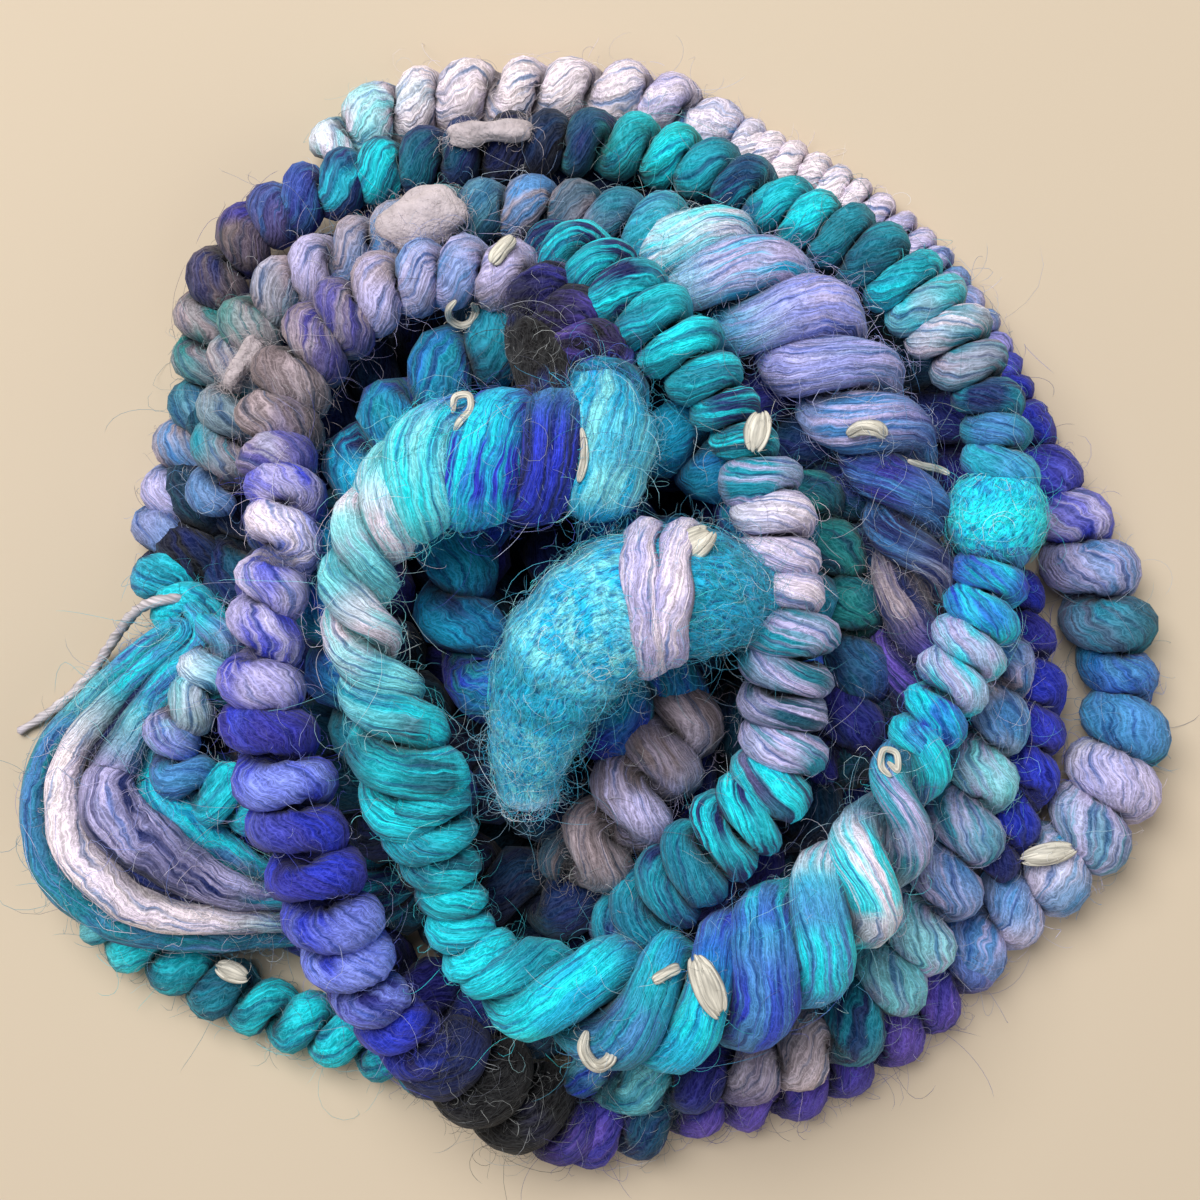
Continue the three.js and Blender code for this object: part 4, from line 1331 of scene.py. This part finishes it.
class YARN_OT_loose_end(bpy.types.Operator):
    """Lay the thin loose end over the heap's left foot and onto the table"""

    bl_idname = "yarn.loose_end"
    bl_label = "Loose end"

    def execute(self, context):
        half = 0.42 * TAIL_DIAMETER
        line = Line([(*spot, half, "thread", "pale") for spot in TAIL_ROUTE], dye_table(context))
        thin = np.interp(line.s, (0, 0.8 * line.length, line.length), (1.0, 0.95, 0.8))
        line.half = line.half * thin
        rng = np.random.default_rng(SEEDS["loose_end"])
        s = np.linspace(0.0, line.length, int(line.length / (0.4 * MM)))
        girth = line.at("half", s) * (1 + 0.15 * soft_noise(s / (3 * MM), rng))
        girth[[0, -1]] = 0.0
        centre, out, weave = line.at("point", s), upwards(len(s)), weave_of(context)
        strand = sweep(centre, out, girth, girth, TAIL_SLANT, weave, rng, line.colours(s))
        material = material_named("spun_thread", silk_material)
        piece = add_strands("loose_end_thread", [strand], material, "core_thread", "loose_end")
        kept = np.linspace(0.8 * MM, line.length - 0.8 * MM, 40)
        route = line.at("point", kept)
        return {"FINISHED"}


class YARN_OT_strands(bpy.types.Operator):
    """Wind every stretch of the yarn that shows"""

    bl_idname = "yarn.strands"
    bl_label = "Wound strands"

    def execute(self, context):
        plain, felted = (material_named(name, wool_material) for name in WOOLS)
        WOUND.update(wound_stretches(context))
        for name, made in WOUND.items():
            wool = felted if name in FELTED else plain
            add_strands(f"strand_{name}", made.sweeps, wool, "wool", "yarn")
        line = WOUND[SLUB_BANDS["stretch"]].line
        weave, dyes, rng = weave_of(context), dye_table(context), np.random.default_rng(SEEDS["bands"])
        bands = [slub_band(line, spot, dyes, weave, rng) for spot in SLUB_BANDS["spots"]]
        add_strands("slub_bands", bands, plain, "wool")
        return {"FINISHED"}


class YARN_OT_inner_turns(bpy.types.Operator):
    """Wind the buried turns that carry the heap"""

    bl_idname = "yarn.inner_turns"
    bl_label = "Buried turns"

    def execute(self, context):
        dyes, weave = dye_table(context), weave_of(context, sides=INNER_SIDES, step=INNER_STEP * MM)
        sweeps = []
        for place, turn in enumerate(INNER_TURNS):
            share = np.linspace(0.0, 1.0, math.ceil(turn["turns"] * INNER_ROWS) + 1)
            angle = np.radians(turn["start"] + share * turn["turns"] * 360)
            radius = turn["near"] + (turn["far"] - turn["near"]) * share
            height = settled(turn["height"], turn["half"])
            baths = INNER_DYES[turn.get("dyes", 0)]
            rows = [(r * math.cos(a), r * math.sin(a), height, turn["half"], *baths[k % len(baths)])
                    for k, (r, a) in enumerate(zip(radius, angle))]
            line = Line(rows, dyes)
            rng = np.random.default_rng(SEEDS["inner_turns"] + place)
            sweeps.append(wind(line, 0.0, line.length, INNER_SPIN, 0, weave, rng))
        add_strands("buried_turns", sweeps, material_named("dyed_wool", wool_material), "wool", "yarn")
        return {"FINISHED"}


class Cover:
    """How high the yarn reaches over each spot of the plan, as the eye above sees it."""

    CELL = 0.6
    SPAN = 200

    def __init__(self, sweeps):
        spots = np.concatenate([made["points"].reshape(-1, 3) for made in sweeps]) / MM
        self.cells = int(self.SPAN / self.CELL)
        self.top = np.full((self.cells, self.cells), -1.0)
        column, row = self.cell(spots)
        np.maximum.at(self.top, (row, column), spots[:, 2])

    def cell(self, spots):
        spread = (EYE_HEIGHT - spots[..., 2]) / (EYE_HEIGHT - PLAN_LEVEL)
        east = (spots[..., 0] + PLAN_CENTRE[0]) / spread
        north = (spots[..., 1] + PLAN_CENTRE[1]) / spread
        return self.of_plan(east, north)

    def of_plan(self, east, north):
        """The column and the row of a plan spot."""
        return tuple(np.clip((way + self.SPAN / 2) / self.CELL, 0, self.cells - 1).astype(int)
                     for way in (east, north))

    def seen(self, points, depth):
        """Which points, in metres, lie no further than a depth in millimetres under the top."""
        column, row = self.cell(points / MM)
        return points[..., 2] / MM > self.top[row, column] - depth

    def height(self, east, north):
        """The height of the yarn at a plan spot, in millimetres."""
        column, row = self.of_plan(east, north)
        return float(self.top[row - 1:row + 2, column - 1:column + 2].max())


def yarn_cover():
    """The cover of the wound strands."""
    if not WOUND:
        raise RuntimeError("wind the strands before anything is laid on them")
    return Cover([single for made in WOUND.values() for single in made.sweeps])


def hair_tint(colours, rng, light=1.7):
    """Loose fibre colours: their strand's dye, some bleached and some darker."""
    count = len(colours)
    bleach = np.where(rng.random((count, 1)) < 0.2, rng.uniform(0.2, 0.6, (count, 1)), 0.025)
    tint = colours * (1 - bleach) + np.array(BLEACHED) * bleach
    return np.clip(tint * rng.uniform(0.8, light, (count, 1)), 0.0, 1.0)


def flyaways(sweeps, count, lengths, lift, knots, cover, rng):
    """Loose fibres that leave the singles and curl through the air above them."""
    weight = np.array([made["size"] for made in sweeps])
    chosen = rng.choice(len(sweeps), count * 3, p=weight / weight.sum())
    roots, outs, aims, tints = [], [], [], []
    for place, made in enumerate(sweeps):
        want = int((chosen == place).sum())
        rows, columns = made["points"].shape[:2]
        row = rng.integers(2, rows - 2, want)
        column = rng.integers(int(0.22 * columns), int(0.78 * columns), want)
        roots.append(made["points"][row, column])
        outs.append(made["out"][row, column])
        aims.append(made["aim"][row])
        # Fibres take the colour of their root, painted groove shade included.
        tints.append(made["dye"][row, column])
    roots, outs, aims, tints = (np.concatenate(part) for part in (roots, outs, aims, tints))
    open_air = cover.seen(roots, 2.0) | ((outs[:, 2] > -0.2) & (rng.random(len(roots)) < 0.12))
    kept = rng.permutation(np.nonzero(open_air)[0])[:count]
    paths = grown(roots[kept], outs[kept], aims[kept], lengths, lift, knots, rng)
    short = paths[..., 2].max(axis=1) < FUZZ_TOP * MM
    return paths[short], hair_tint(tints[kept][short], rng)


def grown(roots, outs, aims, lengths, lift, knots, rng):
    """Curling fibre lines that leave their roots and settle back towards the yarn."""
    count = len(roots)
    reach = rng.lognormal(math.log(lengths), 0.45, count)[:, None] * MM / (knots - 1)
    heading = unit(outs * lift + aims * rng.normal(0, 1.0, (count, 1)) + rng.normal(0, 0.7, (count, 3)))
    axis = unit(rng.normal(0, 1, (count, 3)))
    bend = rng.uniform(1.2, 6.0, (count, 1)) * rng.choice((-1, 1), (count, 1)) / (knots - 1)
    spot = roots - outs * 0.15 * MM
    spot[:, 2] = np.maximum(spot[:, 2], LOWEST)
    path = [spot]
    for _ in range(knots - 1):
        spot = spot + heading * reach
        spot[:, 2] = np.maximum(spot[:, 2], HAIR_LOWEST)
        path.append(spot)
        heading = unit(heading + np.cross(axis, heading) * bend - outs * 0.8 / knots)
        axis = unit(axis + rng.normal(0, 0.22, (count, 3)))
    return np.stack(path, axis=1)


def wraps(made, count, span, curl, light, cover, rng):
    """Loose fibres that wander over a strand and bridge its grooves."""
    line, start, end, _sweeps = made
    tries, knots = 3 * count, WRAP_KNOTS
    s = rng.uniform(start, end, tries)
    theta = rng.uniform(0, 2 * np.pi, tries)
    step = rng.lognormal(math.log(span), 0.4, tries) * MM / (knots - 1)
    way = rng.uniform(0, 2 * np.pi, tries)
    turn = rng.normal(0, curl, tries)
    lift = 1.0 + rng.uniform(0.0, 0.1, tries)[:, None] * np.sin(np.pi * np.linspace(0, 1, knots))[None, :]
    trail = []
    for _ in range(knots):
        trail.append((s, theta))
        s = np.clip(s + np.cos(way) * step, start, end)
        theta = theta + np.sin(way) * step / line.at("half", s)
        way = way + turn + rng.normal(0, 0.3, tries)
    s, theta = (np.stack(part, axis=1) for part in zip(*trail))
    flat = s.ravel()
    away = line.at("half", flat).reshape(s.shape) * lift + 0.1 * MM
    across, up, paths = (line.at(name, flat).reshape(*s.shape, 3) for name in ("across", "up", "point"))
    paths = paths + away[..., None] * (np.cos(theta)[..., None] * across + np.sin(theta)[..., None] * up)
    kept = rng.permutation(np.nonzero(cover.seen(paths[:, knots // 2], 1.2))[0])[:count]
    near = np.clip(np.searchsorted(line.s, s[kept, knots // 2]), 0, len(line.s) - 1)
    paths = paths[kept]
    paths[..., 2] = np.maximum(paths[..., 2], HAIR_LOWEST)
    pick = rng.random((len(kept), 1)) < 0.4
    return paths, hair_tint(np.where(pick, line.streak[near], line.dye[near]), rng, light)


def middle_of(node):
    low, high = (np.array(corner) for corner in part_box(node))
    return 0.5 * (low + high)


def headings(turn):
    """Directions along and across a piece that lies at a turn on the plan, and up."""
    angle = math.radians(turn)
    ahead = np.array((math.cos(angle), math.sin(angle), 0.0))
    beside = np.array((-math.sin(angle), math.cos(angle), 0.0))
    return ahead, beside, np.array(UPWARD)


def lump(node, long, wide, thick, turn, rng):
    """A soft nub on a solid's place: a ball drawn out, pinched and grown into round lobes."""
    bm = bmesh.new()
    bmesh.ops.create_uvsphere(bm, u_segments=48, v_segments=36, radius=1.0)
    mesh = mesh_from(bm, node)
    ball = vertex_places(mesh)[:, (2, 0, 1)]
    bumps = np.zeros(len(ball))
    for _ in range(LUMP_LOBES):
        lobe = unit(rng.normal(0, 1, 3) * (1.0, 1.0, 0.7))
        bumps += rng.uniform(0.6, 1.6) * np.exp((ball @ lobe - 1) / rng.uniform(0.04, 0.09))
    swell = 0.79 + (0.44 - 0.24 * ball[:, 0] ** 2) * (1 - np.exp(-bumps))
    waist = 1.0 - PINCHED.get(node, PINCH) * np.exp(-((ball[:, 0] / 0.4) ** 2))
    shaped = ball * swell[:, None] * np.array((long, wide, thick)) * 0.5 * MM
    shaped[:, 1] *= waist
    spun = sum(np.outer(shaped[:, k], way) for k, way in enumerate(headings(turn)))
    write_places(mesh, spun + middle_of(node))
    weld(mesh, [])
    return mesh


def lock(node, long, wide, thick, turn, weave, tint, rng):
    """A lock of silk on a solid's place: strands that part in the middle and meet at the ends."""
    middle = middle_of(node)
    ahead, beside, upward = headings(turn)
    share = np.linspace(-1, 1, LOCK_ROWS)
    bow = np.maximum(1 - share**2, 0.0) ** 0.6
    sweeps = []
    for side, rise, part, reach, slip in LOCK_STRANDS:
        centre = (middle + np.outer((share * reach + slip) * 0.5 * long * MM, ahead)
                  + np.outer(side * wide * MM * (0.35 + 0.65 * bow), beside)
                  + np.outer(rise * 0.6 * thick * MM * bow, upward))
        girth = np.maximum(0.5 * part * bow, 0.01)
        girth[[0, -1]] = 0.0
        halves = (girth * thick * MM, girth * wide * MM)
        shade = np.array(tint) * rng.uniform(0.9, 1.05)
        colours = (shade, shade * SILK_STREAK)
        sweeps.append(sweep(centre, upwards(LOCK_ROWS), *halves, LOCK_SLANT, weave, rng, colours))
    return sweeps


def curl(half, spots, weave, cover, tint, rng):
    """A small curl of silk draped over the yarn along its line in the plan."""
    heights = np.array([cover.height(east, north) + 0.5 * half for east, north in spots])
    heights = np.maximum(heights, np.median(heights) - 0.8)
    places = [heap_point(*spot, height) for spot, height in zip(spots, heights)]
    dense, _share = smooth_line(np.array(places), 12)
    share = np.linspace(0, 1, len(dense))
    girth = half * MM * np.sqrt(np.maximum(1 - (2 * share - 1) ** 4, 0.0))
    girth[[0, -1]] = 0.0
    out = upwards(len(dense))
    beside = unit(np.cross(unit(np.gradient(dense, axis=0)), out))
    sweeps = []
    for shift, rise in CURL_STRANDS:
        wave = shift * (1 + 0.25 * np.sin(5 * share + rng.uniform(0, 6)))
        centre = dense + beside * (girth * wave)[:, None] + out * (girth * rise)[:, None]
        shade = np.array(tint) * rng.uniform(0.88, 1.05)
        colours = (shade, shade * SILK_STREAK)
        sweeps.append(sweep(centre, out, 0.5 * girth, 0.5 * girth, CURL_SLANT, weave, rng, colours))
    return sweeps


class YARN_OT_add_ins(bpy.types.Operator):
    """Lay the silk locks, the felt nubs and the small curls on the yarn"""

    bl_idname = "yarn.add_ins"
    bl_label = "Locks and nubs"

    def execute(self, context):
        cover, dyes, sizes = yarn_cover(), dye_table(context), context.scene.yarn_sizes
        silk = material_named("combed_silk", silk_material)
        felt = material_named("felted_wool", felt_material, dyes["felt"])
        roots, combed = [], []
        for place, (node, shape) in enumerate(ADD_INS.items()):
            rng = np.random.default_rng(SEEDS["add_ins"] + place)
            if node.startswith("felt"):
                mesh = lump(node, *shape, rng)
                roots += [(tuple(vertex.co), tuple(vertex.normal)) for vertex in mesh.vertices]
                add_piece(f"{node}_nub", mesh, felt, "felt", node)
            else:
                strands = lock(node, *shape, weave_of(context), dyes["silk"], rng)
                combed += strands
                add_strands(f"{node}_strands", strands, silk, "silk", node)
        rng = np.random.default_rng(SEEDS["felt_hairs"])
        chosen = rng.choice(len(roots), sizes.felt_hairs)
        spots, outs = (np.array(part) for part in zip(*(roots[k] for k in chosen)))
        aims = unit(np.cross(outs, rng.normal(0, 1, outs.shape)))
        paths = grown(spots, outs, aims, *FELT_HAIR, rng)
        tints = np.array(dyes["felt"]) * rng.uniform(0.8, 1.1, (len(paths), 1))
        add_hairs("felt_fuzz", paths, tints, (0.6, 1.1), "felt", context, rng)
        weave = weave_of(context, sides=CURL_SIDES)
        curls = []
        for half, spots in SILK_CURLS.values():
            curls += curl(half, spots, weave, cover, dyes["silk"], rng)
        add_strands("silk_curls", curls, silk, "silk")
        rng = np.random.default_rng(SEEDS["silk_hairs"])
        paths, tints = flyaways(combed + curls, sizes.silk_hairs, *SILK_HAIR, cover, rng)
        add_hairs("silk_fuzz", paths, tints, (0.5, 0.9), "silk", context, rng)
        return {"FINISHED"}


class YARN_OT_fuzz(bpy.types.Operator):
    """Raise the loose fibres over the whole heap"""

    bl_idname = "yarn.fuzz"
    bl_label = "Fuzz"

    def execute(self, context):
        cover, sizes = yarn_cover(), context.scene.yarn_sizes
        shares = {}
        for name, (line, start, end, _sweeps) in WOUND.items():
            shares[name] = STRETCHES[name]["fluff"] * (end - start) * line.mean_half(start, end)
        total = sum(shares.values())
        wanted = dict(flyaway=sizes.flyaways, down=sizes.down, nap=sizes.down, wrap=sizes.wraps)
        for place, (kind, most) in enumerate(wanted.items()):
            rng = np.random.default_rng(SEEDS["fuzz"] + place)
            found = []
            for name, made in WOUND.items():
                count = int(most * shares[name] / total)
                if kind in FLYAWAYS:
                    found.append(flyaways(made.sweeps, count, *FLYAWAYS[kind], cover, rng))
                elif name in FELTED:
                    count = int(sizes.matted * (made.end - made.start))
                    found.append(wraps(made, count, *MATTED_WRAP, cover, rng))
                else:
                    found.append(wraps(made, count, *LOOSE_WRAP, cover, rng))
            paths, tints = (np.concatenate(part) for part in zip(*found))
            add_hairs(f"fuzz_{kind}", paths, tints, (0.65, 1.25), "wool", context, rng)
        return {"FINISHED"}


def add_to_scene(scene, name, data, place=(0.0, 0.0, 0.0)):
    """An object of the stage."""
    made = bpy.data.objects.new(name, data)
    made.location = place
    scene.collection.objects.link(made)
    return made


class YARN_OT_stage(bpy.types.Operator):
    """Set the table, the soft light and the camera straight above the heap"""

    bl_idname = "yarn.stage"
    bl_label = "Stage"

    def execute(self, context):
        scene = context.scene
        bm = bmesh.new()
        bmesh.ops.create_grid(bm, x_segments=1, y_segments=1, size=TABLE_HALF)
        mesh = mesh_from(bm, "table_top")
        mesh.materials.append(material_named("pale_table", table_material, tuple(scene.yarn_dyes.table)))
        table = add_to_scene(scene, "table_top", mesh)
        for name, (spot, size, power, colour) in LAMPS.items():
            light = bpy.data.lights.new(name, "AREA")
            light.shape = "DISK"
            light.size, light.energy, light.color = size, power, colour
            lamp = add_to_scene(scene, name, light, spot)
            east, north, height = np.array(spot) - np.array(LAMP_AIM)
            lamp.rotation_euler = (
                math.atan2(math.hypot(east, north), height), 0.0, math.atan2(north, east) + math.pi / 2)
        world = bpy.data.worlds.new("soft_room")
        world.use_nodes = True
        sky = world.node_tree.nodes["Background"]
        sky.inputs["Color"].default_value = SKY
        sky.inputs["Strength"].default_value = SKY_STRENGTH
        scene.world = world
        scene.view_settings.view_transform = "Standard"
        lens = bpy.data.cameras.new("above")
        lens.sensor_fit = "HORIZONTAL"
        lens.angle = 2 * math.atan(0.5 * PLAN_WIDTH / (EYE_HEIGHT - PLAN_LEVEL))
        lens.clip_start = NEAR_CLIP
        scene.camera = add_to_scene(scene, "above", lens, heap_point(0, 0, EYE_HEIGHT))
        return {"FINISHED"}


class YARN_PT_heap(bpy.types.Panel):
    """Lists the steps that dress the heap"""

    bl_idname = "YARN_PT_heap"
    bl_label = "Handspun art yarn"
    bl_space_type = "VIEW_3D"
    bl_region_type = "UI"
    bl_category = "Yarn"

    def draw(self, context):
        for name in YarnSizes.__annotations__:
            self.layout.prop(context.scene.yarn_sizes, name)
        for name in YarnDyes.__annotations__:
            self.layout.prop(context.scene.yarn_dyes, name)
        for step in STEPS:
            self.layout.operator(step.bl_idname)


STEPS = (
    YARN_OT_stage,
    YARN_OT_loose_end,
    YARN_OT_strands,
    YARN_OT_inner_turns,
    YARN_OT_add_ins,
    YARN_OT_fuzz,
)
CLASSES = (YarnDyes, YarnSizes, *STEPS, YARN_PT_heap)


def register():
    for kind in CLASSES:
        bpy.utils.register_class(kind)
    bpy.types.Scene.yarn_dyes = PointerProperty(type=YarnDyes)
    bpy.types.Scene.yarn_sizes = PointerProperty(type=YarnSizes)


def unregister():
    del bpy.types.Scene.yarn_sizes
    del bpy.types.Scene.yarn_dyes
    for kind in reversed(CLASSES):
        bpy.utils.unregister_class(kind)


def main():
    register()
    bpy.ops.yarn.stage()
    bpy.ops.yarn.loose_end()
    bpy.ops.yarn.strands()
    bpy.ops.yarn.inner_turns()
    bpy.ops.yarn.add_ins()
    bpy.ops.yarn.fuzz()
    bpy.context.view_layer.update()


if __name__ == "__main__":
    main()
